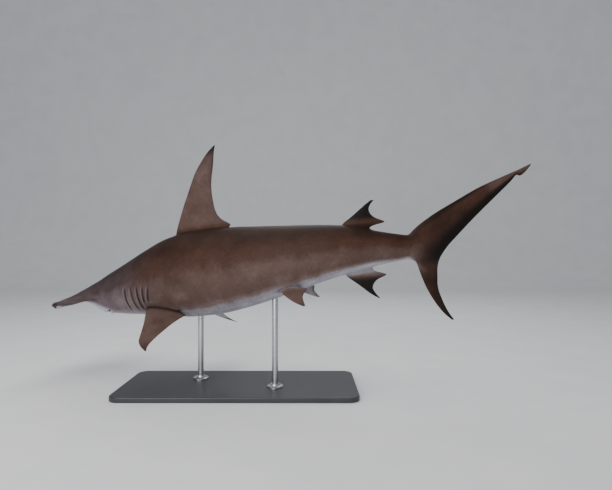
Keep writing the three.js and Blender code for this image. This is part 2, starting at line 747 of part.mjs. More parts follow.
// Tail fin: the upper lobe carries the end of the backbone as a ridge along its chord, and
// the lower lobe hangs from it
const lobe = {
  ridge: 17,
  ridgeAt: 0.26,
  ridgeWidth: 0.22,
  rootWeb: 4.5,
  tipWeb: 1.5,
  bodyFade: 0.045,
  ridgeRise: 0.02,
  rows: 20,
  columns: 9,
};
function upperLobe(from, grow) {
  const reach = upperCaudalRows[upperCaudalRows.length - 1][0];
  const levels = [];
  for (let i = 0; i <= lobe.rows; i += 1) levels.push(from + (reach - from) * i / lobe.rows);
  return fin({
    rows: upperCaudalRows.map(([distance, high, low]) => [distance, -high, -low]),
    columns: lobe.columns,
    levels,
    grow,
    thickness: (distance, c) => {
      const v = distance / reach;
      const body = halfOf(cuts.tail) * totalLength * Math.exp(-distance / lobe.bodyFade);
      const ridge = lobe.ridge * (1 - v) * bump(c - lobe.ridgeAt - 0.1 * (1 - v), lobe.ridgeWidth);
      const web = lobe.rootWeb * (1 - v) + lobe.tipWeb;
      return body * Math.sqrt(Math.max(0, 4 * c * (1 - c)))
        + (1 - Math.exp(-distance / lobe.ridgeRise)) * (ridge + web) * finSection(c);
    },
    place: (along, distance, half) => posed(cuts.tail + distance / totalLength, half, -along),
  });
}
const lobeRoom = solid(upperLobe(0, gap)).add(bodyRoom);
addPiece('caudal_fin_upper', toGeometry(solid(upperLobe(step, 0))), materials.fin);
const lobeBase = upperCaudalRows[0][2] * totalLength;
const lowerLobe = namedFin('lowerCaudal', (along, height, half) => {
  const s = cuts.tail + along / totalLength;
  return posed(s, half, lobeBase - height);
});
addPiece('caudal_fin_lower', toGeometry(solid(lowerLobe).subtract(lobeRoom)), materials.fin);

// Stand: a flat board with round corners, and a rod in a collar under the body at two places
function boardGeometry() {
  const [x, y, r] = [stand.length / 2 - stand.bevel, stand.width / 2 - stand.bevel, stand.corner];
  const outline = new THREE.Shape();
  outline.moveTo(-x + r, -y);
  outline.lineTo(x - r, -y);
  outline.absarc(x - r, -y + r, r, -Math.PI / 2, 0);
  outline.lineTo(x, y - r);
  outline.absarc(x - r, y - r, r, 0, Math.PI / 2);
  outline.lineTo(-x + r, y);
  outline.absarc(-x + r, y - r, r, Math.PI / 2, Math.PI);
  outline.lineTo(-x, -y + r);
  outline.absarc(-x + r, -y + r, r, Math.PI, Math.PI * 1.5);
  const board = new THREE.ExtrudeGeometry(outline, {
    depth: stand.thickness - 2 * stand.bevel,
    bevelThickness: stand.bevel,
    bevelSize: stand.bevel,
    bevelSegments: 2,
    curveSegments: 5,
  });
  board.translate(0, 0, stand.bevel);
  return board;
}
addPiece('stand_base', toGeometry(solid(boardGeometry())), materials.board);
stand.rods.forEach(({ name, at }) => {
  const foot = axis.at(at, 'point').add(axis.shift);
  const low = stand.thickness + gap;
  const rod = new THREE.CylinderGeometry(stand.rodRadius, stand.rodRadius, foot.z - low, 24);
  rod.rotateX(Math.PI / 2);
  rod.translate(foot.x, foot.y, (foot.z + low) / 2);
  addPiece(`stand_rod_${name}`, toGeometry(solid(rod).subtract(bodyRoom)), materials.metal);
  const collar = new THREE.LatheGeometry([
    new THREE.Vector2(stand.rodRadius + gap, 0),
    new THREE.Vector2(stand.collarRadius, 0),
    new THREE.Vector2(stand.collarRadius, stand.collarHeight * 0.35),
    new THREE.Vector2(stand.collarRadius * 0.9, stand.collarHeight * 0.5),
    new THREE.Vector2(stand.rodRadius + 12, stand.collarHeight * 0.6),
    new THREE.Vector2(stand.rodRadius + 9, stand.collarHeight),
    new THREE.Vector2(stand.rodRadius + gap, stand.collarHeight),
    new THREE.Vector2(stand.rodRadius + gap, 0),
  ], 24);
  collar.rotateX(Math.PI / 2);
  collar.translate(foot.x, foot.y, low);
  addPiece(`stand_collar_${name}`, toGeometry(solid(collar)), materials.metal);
});

export default shark;
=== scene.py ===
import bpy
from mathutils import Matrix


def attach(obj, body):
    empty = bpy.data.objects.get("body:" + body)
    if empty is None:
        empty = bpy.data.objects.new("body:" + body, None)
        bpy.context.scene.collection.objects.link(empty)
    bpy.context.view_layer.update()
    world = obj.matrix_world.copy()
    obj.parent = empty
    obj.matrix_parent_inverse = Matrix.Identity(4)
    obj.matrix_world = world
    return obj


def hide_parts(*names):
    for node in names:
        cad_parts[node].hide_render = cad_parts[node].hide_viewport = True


bl_info = {
    "name": "Hammerhead shark on a display stand",
    "version": (1, 0, 0),
    "blender": (4, 5, 0),
    "location": "View3D > Sidebar > Shark",
    "description": "Skin, eyes, stand finishes and studio for a life-size great hammerhead shark",
    "category": "Object",
}

import math
from functools import partial

import bmesh
import bpy
import numpy as np
from bpy.props import FloatProperty, FloatVectorProperty, PointerProperty

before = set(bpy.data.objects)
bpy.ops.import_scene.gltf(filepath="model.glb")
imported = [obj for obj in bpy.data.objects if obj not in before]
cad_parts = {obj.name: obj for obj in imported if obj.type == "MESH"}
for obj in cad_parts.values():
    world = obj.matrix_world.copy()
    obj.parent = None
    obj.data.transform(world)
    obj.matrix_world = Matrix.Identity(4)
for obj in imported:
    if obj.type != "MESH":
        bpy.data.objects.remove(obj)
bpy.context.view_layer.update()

# The animal is described straight: s runs from the front of the hammer (0) to the tail (1),
# y is across (left negative), z is up, all as shares of the total length. bend_axis gives
# the swimming pose, and every point is carried along it.
LENGTH = 3.4
NECK, TAIL = 0.100, 0.735
AXIS_HEIGHT, CENTRED_AT, HEIGHT_AT = 0.700, 0.40, 0.28
BACK_ROUNDNESS, BELLY_ROUNDNESS = 2.0, 2.35
MIDDLE_DROP = 0.06

# The axis's turns in degrees, and the stretch of s in which each sets in or, on the head, ends
POSE = {
    "trunk_yaw": 22.0, "head_yaw": 8.0, "tail_yaw": -31.0, "caudal_yaw": -2.0,
    "trunk_pitch": 11.3, "head_pitch": -5.0, "tail_pitch": -9.8, "bank": 1.0, "head_bank": 5.0,
}
BENDS = {
    "head": (0.09, 0.30), "head_pitch": (0.09, 0.27), "tail_yaw": (0.42, 0.75),
    "caudal_yaw": (0.72, 0.95), "tail_pitch": (0.40, 0.72),
}

# The body's outline: station, top, bottom, half width
BODY = np.array([
    (0.010, 0.003, -0.004, 0.070), (0.025, 0.0125, -0.009, 0.066),
    (0.045, 0.0235, -0.020, 0.0595), (0.060, 0.0305, -0.0370, 0.0540),
    (0.076, 0.0372, -0.0473, 0.0525), (0.100, 0.046, -0.0508, 0.0520),
    (0.130, 0.0545, -0.0530, 0.053), (0.160, 0.064, -0.0555, 0.056),
    (0.200, 0.076, -0.062, 0.0595), (0.250, 0.0878, -0.071, 0.0625),
    (0.290, 0.0915, -0.077, 0.063), (0.350, 0.0875, -0.080, 0.0615),
    (0.400, 0.080, -0.077, 0.058), (0.450, 0.0705, -0.071, 0.053),
    (0.510, 0.0605, -0.061, 0.045), (0.570, 0.053, -0.048, 0.0355),
    (0.610, 0.0485, -0.039, 0.029), (0.660, 0.0365, -0.028, 0.0205),
    (0.700, 0.029, -0.0215, 0.0155), (0.722, 0.0262, -0.0185, 0.0135),
    (0.735, 0.0365, -0.0205, 0.0125),
])
# The upper lobe of the tail: distance behind the tail cut, leading edge, trailing edge
UPPER_LOBE = np.array([
    (0.000, 0.0365, -0.0205), (0.006, 0.0418, -0.0212), (0.029, 0.0579, -0.0240),
    (0.043, 0.0665, -0.0255), (0.050, 0.0705, -0.0150), (0.060, 0.0759, -0.0010),
    (0.083, 0.0881, 0.0225), (0.124, 0.1096, 0.0613), (0.166, 0.1275, 0.0983),
    (0.198, 0.1400, 0.1270), (0.206, 0.1430, 0.1355), (0.211, 0.1450, 0.1325),
    (0.222, 0.1500, 0.1385), (0.236, 0.1560, 0.1530),
])
# Its thickness in metres: a ridge that carries the backbone, at a share of the chord that
# shifts forwards, on a thin web. Fades and the flattening are in shares of the length.
LOBE = {
    "ridge": 0.017, "ridge_at": 0.26, "ridge_shift": 0.1, "ridge_width": 0.22, "web": 0.0045,
    "edge": 0.0015, "start": 0.02, "half_fade": 0.045, "flat": (0.715, 0.755),
}
# The fins: height above the base, leading edge, trailing edge
FIN_ROWS = {
    "first_dorsal": np.array([
        (-0.024, -0.010, 0.094), (-0.012, -0.005, 0.104), (-0.0075, -0.0025, 0.1355),
        (0.008, 0.0040, 0.1135), (0.022, 0.0115, 0.1035), (0.037, 0.0205, 0.1005),
        (0.058, 0.0332, 0.1003), (0.075, 0.0448, 0.1015), (0.096, 0.0588, 0.1068),
        (0.114, 0.0720, 0.1132), (0.131, 0.0898, 0.1180), (0.1445, 0.1065, 0.1218),
        (0.1535, 0.1230, 0.1257),
    ]),
    "second_dorsal": np.array([
        (-0.014, -0.006, 0.052), (-0.004, -0.002, 0.054), (0.001, 0.001, 0.0920),
        (0.005, 0.0060, 0.0740), (0.0105, 0.0145, 0.0600), (0.018, 0.0240, 0.0520),
        (0.026, 0.0335, 0.0495), (0.034, 0.0430, 0.0525), (0.0415, 0.0530, 0.0590),
    ]),
    "anal": np.array([
        (-0.012, -0.006, 0.054), (-0.001, -0.003, 0.056), (0.003, 0.001, 0.092),
        (0.008, 0.0070, 0.0700), (0.016, 0.0180, 0.0560), (0.027, 0.0320, 0.0500),
        (0.038, 0.0460, 0.0560), (0.046, 0.0600, 0.0630),
    ]),
    "pectoral": np.array([
        (-0.030, -0.010, 0.0700), (-0.002, -0.001, 0.0730), (0.005, 0.0040, 0.0985),
        (0.018, 0.0130, 0.0930), (0.045, 0.0320, 0.0880), (0.074, 0.0500, 0.0868),
        (0.095, 0.0630, 0.0878), (0.108, 0.0780, 0.0915), (0.117, 0.0940, 0.0970),
    ]),
    "pelvic": np.array([
        (-0.016, -0.004, 0.043), (-0.001, -0.002, 0.045), (0.006, 0.004, 0.0660),
        (0.014, 0.012, 0.0600), (0.028, 0.025, 0.0540), (0.040, 0.038, 0.0560),
        (0.050, 0.053, 0.0580),
    ]),
    "lower_caudal": np.array([
        (-0.012, 0.000, 0.055), (0.004, 0.003, 0.0510), (0.020, 0.009, 0.0450),
        (0.045, 0.019, 0.0440), (0.075, 0.036, 0.0530), (0.100, 0.056, 0.0660),
        (0.112, 0.070, 0.0750),
    ]),
}
# Where each fin stands, its sides, its half thickness and flare at the root in metres, and its
# rows of mesh. A paired fin turns by down and tilt, in degrees, and sweep leans it tailwards.
FINS = {
    "first_dorsal": {"at": 0.2687, "sides": (1,), "root": 0.022, "flare": 0.014, "levels": 26},
    "second_dorsal": {"at": 0.6039, "sides": (1,), "root": 0.009, "flare": 0.008, "levels": 14},
    "anal": {"at": 0.605, "sides": (-1,), "root": 0.009, "flare": 0.008, "levels": 14},
    "lower_caudal": {"at": TAIL, "sides": (-1,), "root": 0.011, "flare": 0.006, "levels": 18},
    "pectoral": {
        "at": 0.209, "sides": (1, -1), "across": 0.050, "up": -0.041, "down": 24.0,
        "sweep": -0.2, "tilt": 15.0, "root": 0.019, "flare": 0.012, "levels": 24,
    },
    "pelvic": {
        "at": 0.478, "sides": (1, -1), "across": 0.026, "up": -0.048, "down": 40.0,
        "sweep": 0.05, "tilt": 3.0, "root": 0.009, "flare": 0.007, "levels": 12,
    },
}
FIN_EDGE, FIN_SKIN = 0.0008, 0.0016
FLARE_FADE = 0.024
FREE_TIP_LIFT = 0.0022

HAMMER = {
    "half_span": 0.118, "median_notch": 0.0035, "side_notch": 0.0035, "bow": 0.006,
    "tip_front": 0.024, "tip_rear": 0.064, "root_rear": 0.086, "tip_thickness": 0.0042,
    "root_thickness": 0.0088, "tip_round": 0.92, "droop": 0.0090, "droop_power": 1.1,
    "section_full": 0.80, "oval_full": 0.38, "twist": 0.0038, "neck_half": 0.0528,
    "neck_side": 0.086,
}
EYE = {"radius": 0.017, "at": 0.034, "inset": 0.0135, "swell": 0.0037, "swell_at": 0.33}
MOUTH = {"front": 0.060, "corner": 0.094, "half_width": 0.038}
# The gill slits: upper end, how far behind it the lower end lies, middle height, height
GILLS = (
    (0.1665, -0.001, -0.0177, 0.0490), (0.1830, 0.003, -0.0191, 0.0500),
    (0.1995, 0.000, -0.0211, 0.0505), (0.2145, -0.005, -0.0213, 0.0460),
    (0.2290, -0.011, -0.0200, 0.0380),
)
GILL_BOW = 0.006
NOSTRIL = {"across": 0.096, "length": 0.048}

# The belly's upper edge as a share of the body's height, at stations
BELLY_EDGE = np.array([
    (0.0, 0.42), (0.065, 0.36), (0.11, 0.10), (0.16, 0.08), (0.24, 0.09), (0.35, 0.09),
    (0.50, 0.10), (0.62, 0.13), (0.72, 0.10), (0.80, -0.6),
])

# The grids that the skin is made from, and the row spacing in metres at stations
COLUMNS = 64
WING_STATIONS = 18
CHORD_COLUMNS = 36
ROW_SPACING = np.array([
    (0.100, 0.0080), (0.150, 0.0072), (0.157, 0.0058), (0.236, 0.0058), (0.256, 0.0170),
    (0.300, 0.0205), (0.600, 0.0205), (0.620, 0.0180), (0.720, 0.0170), (0.740, 0.0120),
    (0.790, 0.0120), (0.830, 0.0180), (0.930, 0.0180), (0.971, 0.0100),
])

# Rounds of easing: the room that points make for a fin, the reach of a root, the joins
ROOM_ROUNDS, ROOM_HOLD = 260, 0.985
ROOT_ROUNDS, ROOT_SPREAD = 5, 1.25
EASE_ROUNDS, EASE_SHARE = 8, 0.6
HEAD_BLEND_ROWS = 12

# The studio's paper sweep in metres, and the camera: focal length in pixels of the picture
SWEEP = {"near": -40.0, "half_width": 40.0, "curve": 2.5, "wall": 14.0}
FOCAL, PICTURE_WIDTH, SENSOR = 500.0, 612.0, 36.0
CAMERA_AT = (0.428, -3.250, 0.928)

FLESH_NODES = (
    "head_hammer", "gill_region", "trunk_front", "trunk_rear", "tail_stock", "dorsal_fin_first",
    "dorsal_fin_second", "anal_fin", "pectoral_fin_left", "pectoral_fin_right", "pelvic_fin_left",
    "pelvic_fin_right", "caudal_fin_upper", "caudal_fin_lower",
)


def smooth(low, high, x):
    """A smooth step: 3t^2 - 2t^3, with t running from 0 at low to 1 at high."""
    t = np.clip((x - low) / (high - low), 0, 1)
    return t * t * (3 - 2 * t)


def bump(x, width):
    """A bell: e to the minus (x / width) squared."""
    return np.exp(-(x / width) ** 2)


def curve_through(xs, ys):
    """Cubic pieces through the points. Each inner slope is the weighted harmonic mean of the
    steps beside it, or 0 where they turn, so the curve never overshoots."""
    xs, ys = np.asarray(xs, float), np.asarray(ys, float)
    width = np.diff(xs)
    step = np.diff(ys) / width
    slope = np.concatenate([step[:1], np.zeros(len(xs) - 2), step[-1:]])
    a, b = 2 * width[1:] + width[:-1], width[1:] + 2 * width[:-1]
    with np.errstate(divide="ignore", invalid="ignore"):
        mean = (a + b) / (a / step[:-1] + b / step[1:])
    slope[1:-1] = np.where(step[:-1] * step[1:] > 0, mean, 0)

    def curve(x):
        t = np.clip(x, xs[0], xs[-1])
        i = np.clip(np.searchsorted(xs, t, side="right") - 1, 0, len(xs) - 2)
        h = width[i]
        u = (t - xs[i]) / h
        return ((2 * u**3 - 3 * u**2 + 1) * ys[i] + (u**3 - 2 * u**2 + u) * h * slope[i]
                + (3 * u**2 - 2 * u**3) * ys[i + 1] + (u**3 - u**2) * h * slope[i + 1])
    return curve


body_top, body_bottom, body_half = (curve_through(BODY[:, 0], BODY[:, k]) for k in (1, 2, 3))
lobe_high, lobe_low = (curve_through(UPPER_LOBE[:, 0], UPPER_LOBE[:, k]) for k in (1, 2))
LOBE_REACH = UPPER_LOBE[-1, 0]
FIN_CURVES = {
    name: [curve_through(rows[:, 0], rows[:, k]) for k in (1, 2)]
    for name, rows in FIN_ROWS.items()
}


def bend_axis():
    """The bent axis: yaw, pitch and bank are sums of smooth steps of s. The point is the
    running integral of the tailward direction. Gives s, the points, left and up."""
    s = np.linspace(-0.04, 1.04, 541)
    turn = {key: smooth(*stretch, s) for key, stretch in BENDS.items()}
    head = 1 - turn["head"]
    yaw = np.radians(POSE["trunk_yaw"] + POSE["head_yaw"] * head
                     + POSE["tail_yaw"] * turn["tail_yaw"]
                     + POSE["caudal_yaw"] * turn["caudal_yaw"])
    pitch = np.radians(POSE["trunk_pitch"] + POSE["head_pitch"] * (1 - turn["head_pitch"])
                       + POSE["tail_pitch"] * turn["tail_pitch"])
    bank = np.radians(POSE["bank"] + POSE["head_bank"] * head)[:, None]
    tailwards = np.stack([
        np.cos(yaw) * np.cos(pitch), -np.sin(yaw) * np.cos(pitch), np.sin(pitch)], 1)
    level = np.stack([-np.sin(yaw), -np.cos(yaw), np.zeros_like(yaw)], 1)
    upright = np.cross(level, tailwards)
    left = level * np.cos(bank) - upright * np.sin(bank)
    up = upright * np.cos(bank) + level * np.sin(bank)
    steps = (tailwards[1:] + tailwards[:-1]) / 2 * (s[1] - s[0]) * LENGTH
    point = np.concatenate([np.zeros((1, 3)), np.cumsum(steps, 0)])
    middle = [np.interp(CENTRED_AT, s, point[:, k]) for k in range(3)]
    low = np.interp(HEIGHT_AT, s, point[:, 2])
    point = point - [middle[0], middle[1], low - AXIS_HEIGHT]
    return s, point, left, up


AXIS = bend_axis()


def along_axis(s, rows):
    """A value of the axis between its stations, by straight lines."""
    return np.stack([np.interp(s, AXIS[0], rows[:, k]) for k in range(3)], -1)


def posed(p):
    """Straight points to the world: the axis point, minus y along left, plus z along up."""
    s = p[..., 0] / LENGTH
    return (along_axis(s, AXIS[1]) - along_axis(s, AXIS[2]) * p[..., 1:2]
            + along_axis(s, AXIS[3]) * p[..., 2:3])


def outline(s):
    """Top, bottom, half width and middle height in metres, of the body and then of the tail's
    upper lobe, where the half width fades as e to the minus distance / half_fade."""
    d = s - TAIL
    top = np.where(d < 0, body_top(s), lobe_high(d)) * LENGTH
    bottom = np.where(d < 0, body_bottom(s), lobe_low(d)) * LENGTH
    half = body_half(s) * np.exp(-np.maximum(0, d) / LOBE["half_fade"]) * LENGTH
    return top, bottom, half, (top + bottom) / 2 - MIDDLE_DROP * (top - bottom)


def fin_section(c):
    """Half thickness along a chord, round in front and thin behind: the four-digit wing
    section's thickness, 1 at its thickest."""
    return 10 * (0.2969 * np.sqrt(c) - 0.1260 * c - 0.3516 * c**2 + 0.2843 * c**3 - 0.1036 * c**4)


def lobe_thickness(d, c):
    """The upper lobe beyond the body's own width: a ridge that carries the backbone and a
    thin web, both fading towards the tip."""
    v = np.clip(d / LOBE_REACH, 0, 1)
    from_ridge = c - LOBE["ridge_at"] - LOBE["ridge_shift"] * (1 - v)
    ridge = LOBE["ridge"] * (1 - v) * bump(from_ridge, LOBE["ridge_width"])
    web = LOBE["web"] * (1 - v) + LOBE["edge"]
    return (1 - np.exp(-np.maximum(0, d) / LOBE["start"])) * (ridge + web) * fin_section(c)


def body_surface(s, angle):
    """The trunk at a station and an angle from the right side over the back: half an oval
    above and a fuller one below, running into the lobe's flat section behind the tail cut."""
    top, bottom, half, middle = outline(s)
    sine, cosine = np.sin(angle), np.cos(angle)
    power = np.where(sine > 0, 2 / BACK_ROUNDNESS, 2 / BELLY_ROUNDNESS)
    reach = np.where(sine > 0, top - middle, middle - bottom)
    y = half * np.sign(cosine) * np.abs(cosine) ** power
    z = middle + reach * np.sign(sine) * np.abs(sine) ** power
    c = np.clip((1 - sine) / 2, 0, 1)
    flat = smooth(*LOBE["flat"], s)
    y_lobe = np.sign(cosine) * (half * np.abs(cosine) + lobe_thickness(s - TAIL, c))
    z_lobe = (top + bottom) / 2 + (top - bottom) / 2 * sine
    y, z = y + flat * (y_lobe - y), z + flat * (z_lobe - z)
    return np.stack([s * LENGTH + 0 * y, y, z], -1)


def outside(p):
    """Above 0 outside the trunk's oval section, below 0 inside, and the point's angle."""
    s = p[..., 0] / LENGTH
    top, bottom, half, middle = outline(s)
    over = p[..., 2] > middle
    power = np.where(over, BACK_ROUNDNESS, BELLY_ROUNDNESS)
    reach = np.where(over, top - middle, middle - bottom)
    a = (np.abs(p[..., 1]) / half) ** power
    b = (np.abs(p[..., 2] - middle) / reach) ** power
    angle = np.arctan2(np.sqrt(b) * np.sign(p[..., 2] - middle),
                       np.sqrt(a) * np.sign(p[..., 1] + 1e-9))
    return a + b - 1, angle


def hammer_front(q):
    """The front edge at a share q of the half span: a notch at the middle and one near the
    tip on a slight bow, swept back at the tip."""
    return (HAMMER["median_notch"] * bump(q, 0.11) + HAMMER["bow"] * q**2
            + HAMMER["side_notch"] * bump(q - 0.80, 0.06)
            + (HAMMER["tip_front"] - HAMMER["bow"]) * smooth(0.86, 1, q) ** 1.4)


def hammer_rear(q):
    """The rear edge: straight towards the tip, with a curved fillet into the neck."""
    fillet = 0.030 * np.exp(-np.maximum(0, q - 0.36) / 0.09)
    sweep = (HAMMER["root_rear"] - HAMMER["tip_rear"] - 0.008) * (1 - q) ** 1.2
    return (HAMMER["tip_rear"] + sweep + fillet - 0.008 * smooth(0.9, 1, q) ** 2
            + 0.004 * bump(q - 0.9, 0.08))


def hammer_middle(q, c):
    """Height of the hammer's middle surface: a droop towards the tips, with the rear edge
    turned down as the square of the share along the chord."""
    twist = HAMMER["twist"] * c**2 * smooth(0.30, 0.55, q) * (1 - smooth(0.80, 1, q))
    return -(HAMMER["droop"] * q ** HAMMER["droop_power"] + twist) * LENGTH


def hammer_half(q, c):
    """Half thickness of the hammer: a wing section over a flat oval, thinner towards the
    tip, rounded off at its end and swollen round the eye."""
    past = np.maximum(0, q - HAMMER["tip_round"]) / (1 - HAMMER["tip_round"])
    end = np.sqrt(np.clip(1 - past ** 2, 0, 1))
    thick = (HAMMER["tip_thickness"] + HAMMER["root_thickness"] * (1 - q) ** 1.2) * LENGTH * end
    full = HAMMER["section_full"] * fin_section(c) + HAMMER["oval_full"] * np.sqrt(c * (1 - c))
    swell = (EYE["swell"] * LENGTH * bump(q - 0.95, 0.07) * bump(c - EYE["swell_at"], 0.25)
             * np.sqrt(1 - q**8))
    return np.maximum(FIN_EDGE, thick * full + swell)


def soft_max(a, b, k):
    """The larger of two heights with a fillet of about k."""
    return (a + b + np.sqrt((a - b) ** 2 + k * k)) / 2


def head_height(s, y, wing, side):
    """The head's upper (side 1) or lower (side -1) surface: the wing's, or the trunk's oval
    where that stands further out, joined softly."""
    top, bottom, half, middle = outline(s)
    power = BACK_ROUNDNESS if side > 0 else BELLY_ROUNDNESS
    reach = top - middle if side > 0 else middle - bottom
    share = np.clip(np.abs(y) / half, 0, 1)
    oval = (side * middle + reach * (1 - share**power) ** (1 / power)
            - 1.5 * np.maximum(0, np.abs(y) - half))
    joined = soft_max(side * wing, oval, 0.010) - 0.0015
    start = smooth(0.006, 0.024, s)
    return wing + start * (side * np.maximum(joined, side * wing) - wing)


class Cage:
    """A closed mesh of four-sided faces. Each point has its place in the straight animal, how
    dusky it is (fin tips), its own tone (0 dark back, 1 pale belly), how far that tone counts
    instead of the body's, and on a fin its share of the chord, which the fin rays follow."""

    def __init__(self):
        self.rows = []
        self.count = 0
        self.quads = []

    def add(self, points, dusk=0.0, tone=0.0, own=0.0, ray=0.0):
        """Adds points and gives their numbers in the same arrangement."""
        shape = points.shape[:-1]
        columns = [points.reshape(-1, 3)]
        columns += [np.broadcast_to(v, shape).reshape(-1, 1) for v in (dusk, tone, own, ray)]
        self.rows.append(np.concatenate(columns, 1))
        numbers = np.arange(self.count, self.count + self.rows[-1].shape[0]).reshape(shape)
        self.count += self.rows[-1].shape[0]
        return numbers

    def join(self, a, b, c, d):
        """Adds the faces with these corners."""
        self.quads.append(np.stack([np.ravel(v) for v in (a, b, c, d)], 1))

    def loft(self, loops):
        """Joins closed loops, one row each."""
        turned = np.roll(loops, -1, 1)
        self.join(loops[:-1], loops[1:], turned[1:], turned[:-1])

    def cap(self, loop):
        """Closes an even loop with strips from its first point to the opposite one."""
        n = len(loop)
        j = np.arange(n // 2 - 1)
        self.join(loop[n - 1 - j], loop[(-j) % n], loop[1 + j], loop[2 + j])

    def data(self):
        """All points and all faces as one array each."""
        return np.concatenate(self.rows), np.concatenate(self.quads)


def gathered(index, values, count):
    """The sums of the rows of values that share a number in index."""
    return np.stack([np.bincount(index, column, count) for column in values.T], 1)


def neighbours_mean(values, quads):
    """Each point's mean over the points that share an edge with it."""
    after = np.roll(quads, -1, 1)
    a, b = np.concatenate([quads, after]).ravel(), np.concatenate([after, quads]).ravel()
    count = np.bincount(a, minlength=len(values))[:, None]
    return gathered(a, values[b], len(values)) / np.maximum(count, 1)


def subdivided(rows, quads):
    """One Catmull-Clark step: a face point is the mean of its corners, an edge point the mean
    of its ends and the two face points, and an old point (Q + 2R + (n - 3)P) / n, with Q and
    R the means of the face points and edge middles round it."""
    n = len(rows)
    face = rows[quads].mean(1)
    a, b = quads, np.roll(quads, -1, 1)
    key = np.minimum(a, b) * n + np.maximum(a, b)
    edges, index = np.unique(key.ravel(), return_inverse=True)
    index = index.reshape(quads.shape)
    ends = np.stack([edges // n, edges % n], 1)
    middle = rows[ends].mean(1)
    corner_face = np.repeat(face, 4, 0)
    edge = (middle * 2 + gathered(index.ravel(), corner_face, len(edges))) / 4
    valence = np.bincount(quads.ravel(), minlength=n)[:, None]
    q = gathered(quads.ravel(), corner_face, n) / valence
    r = gathered(ends.ravel(), np.repeat(middle, 2, 0), n) / valence
    old = (q + 2 * r + (valence - 3) * rows) / valence
    edge_id = n + index
    face_id = n + len(edges) + np.arange(len(quads))
    new = np.concatenate([
        np.stack([quads[:, k], edge_id[:, k], face_id, edge_id[:, k - 1]], 1) for k in range(4)])
    return np.concatenate([old, edge, face]), new


def add_head(cage):
    """The hammer and the front of the head: stations across, chord columns from the front
    edge back, on an upper and a lower sheet that share the front edge and, outside the neck,
    the rear edge. Returns the ring of points that the trunk grows from."""
    m = COLUMNS // 4
    half_count = WING_STATIONS + m
    j = np.arange(-half_count, half_count + 1)
    q_neck = HAMMER["neck_half"] / HAMMER["half_span"]
    inner = np.abs(j) <= m
    t = np.clip((np.abs(j) - m) / WING_STATIONS, 0, 1)
    q = np.where(inner, q_neck * np.sin(np.pi / 2 * np.clip(np.abs(j) / m, 0, 1)),
                 q_neck + (1 - q_neck) * np.sin(np.pi / 2 * t) ** 1.05)
    side = np.sign(j)
    i = np.arange(CHORD_COLUMNS + 1) / CHORD_COLUMNS
    even = 1 - np.cos(np.pi / 2 * i)
    round_ends = (1 - np.cos(np.pi * i)) / 2
    wing_share = smooth(0.42, 0.62, q)[:, None]
    c = even + (round_ends - even) * wing_share
    angle = np.pi / 2 * np.clip(np.abs(j) / m, 0, 1)
    ring_at = HAMMER["neck_side"] + (NECK - HAMMER["neck_side"]) * np.cos(angle)
    rear = np.where(inner, ring_at, hammer_rear(q) - (hammer_rear(q_neck) - HAMMER["neck_side"])
                    * (1 - smooth(0, 0.25, q - q_neck)))
    front = hammer_front(q)
    s = front[:, None] + (rear - front)[:, None] * c
    lower_q = np.where(inner, q_neck * np.sin(angle) ** (2 / BELLY_ROUNDNESS), q)
    chord = (np.maximum(rear, hammer_rear(q)) - front)[:, None]
    wing_c = np.clip((s - front[:, None]) / chord, 0, 1)
    sheets = []
    for face in (1, -1):
        across = q[:, None] if face > 0 else q[:, None] + (lower_q - q)[:, None] * c
        across = np.broadcast_to(across, s.shape)
        y = side[:, None] * across * HAMMER["half_span"] * LENGTH
        edge = (wing_c <= 0) | ((wing_c >= 1) & ~inner[:, None])
        half = np.where(edge, 0, hammer_half(across, wing_c))
        wing = hammer_middle(across, wing_c) + face * half
        z = np.where(edge, wing, head_height(s, y, wing, face))
        sheets.append(np.stack([s * LENGTH, y, z], -1))
    rear_edge = (np.abs(j) >= m)
    sheets[0][rear_edge, -1, 2] = hammer_middle(q[rear_edge], 1.0)
    wing_own = np.broadcast_to(smooth(0.40, 0.60, q)[:, None], s.shape)
    upper = cage.add(sheets[0], tone=0.34, own=wing_own)
    lower = upper.copy()
    inside = np.zeros_like(upper, bool)
    inside[:, 1:] = True
    inside[rear_edge, -1] = False
    # painted shade under the rear of the hammer, from about 60% of the chord back, where its pale
    # underside turns away from the light; it fades out at the very tip
    rear_underside_shade = smooth(0.58, 0.72, wing_c) * (1 - smooth(0.955, 0.995, q))[:, None]
    under_tone = 0.34 + 0.66 * smooth(0.01, 0.06, wing_c) * (1 - np.maximum(
        0.8 * smooth(0.96, 1.0, wing_c), 0.95 * rear_underside_shade))
    lower[inside] = cage.add(sheets[1][inside], tone=under_tone[inside], own=wing_own[inside])
    for grid in (upper, lower):
        cage.join(grid[:-1, :-1], grid[1:, :-1], grid[1:, 1:], grid[:-1, 1:])
    for end in (0, -1):
        cage.cap(np.concatenate([upper[end], lower[end, -2:0:-1]]))
    centre = half_count
    over = upper[centre + m:centre - m:-1, -1]
    under = lower[centre - m:centre + m, -1]
    return np.concatenate([over, under])


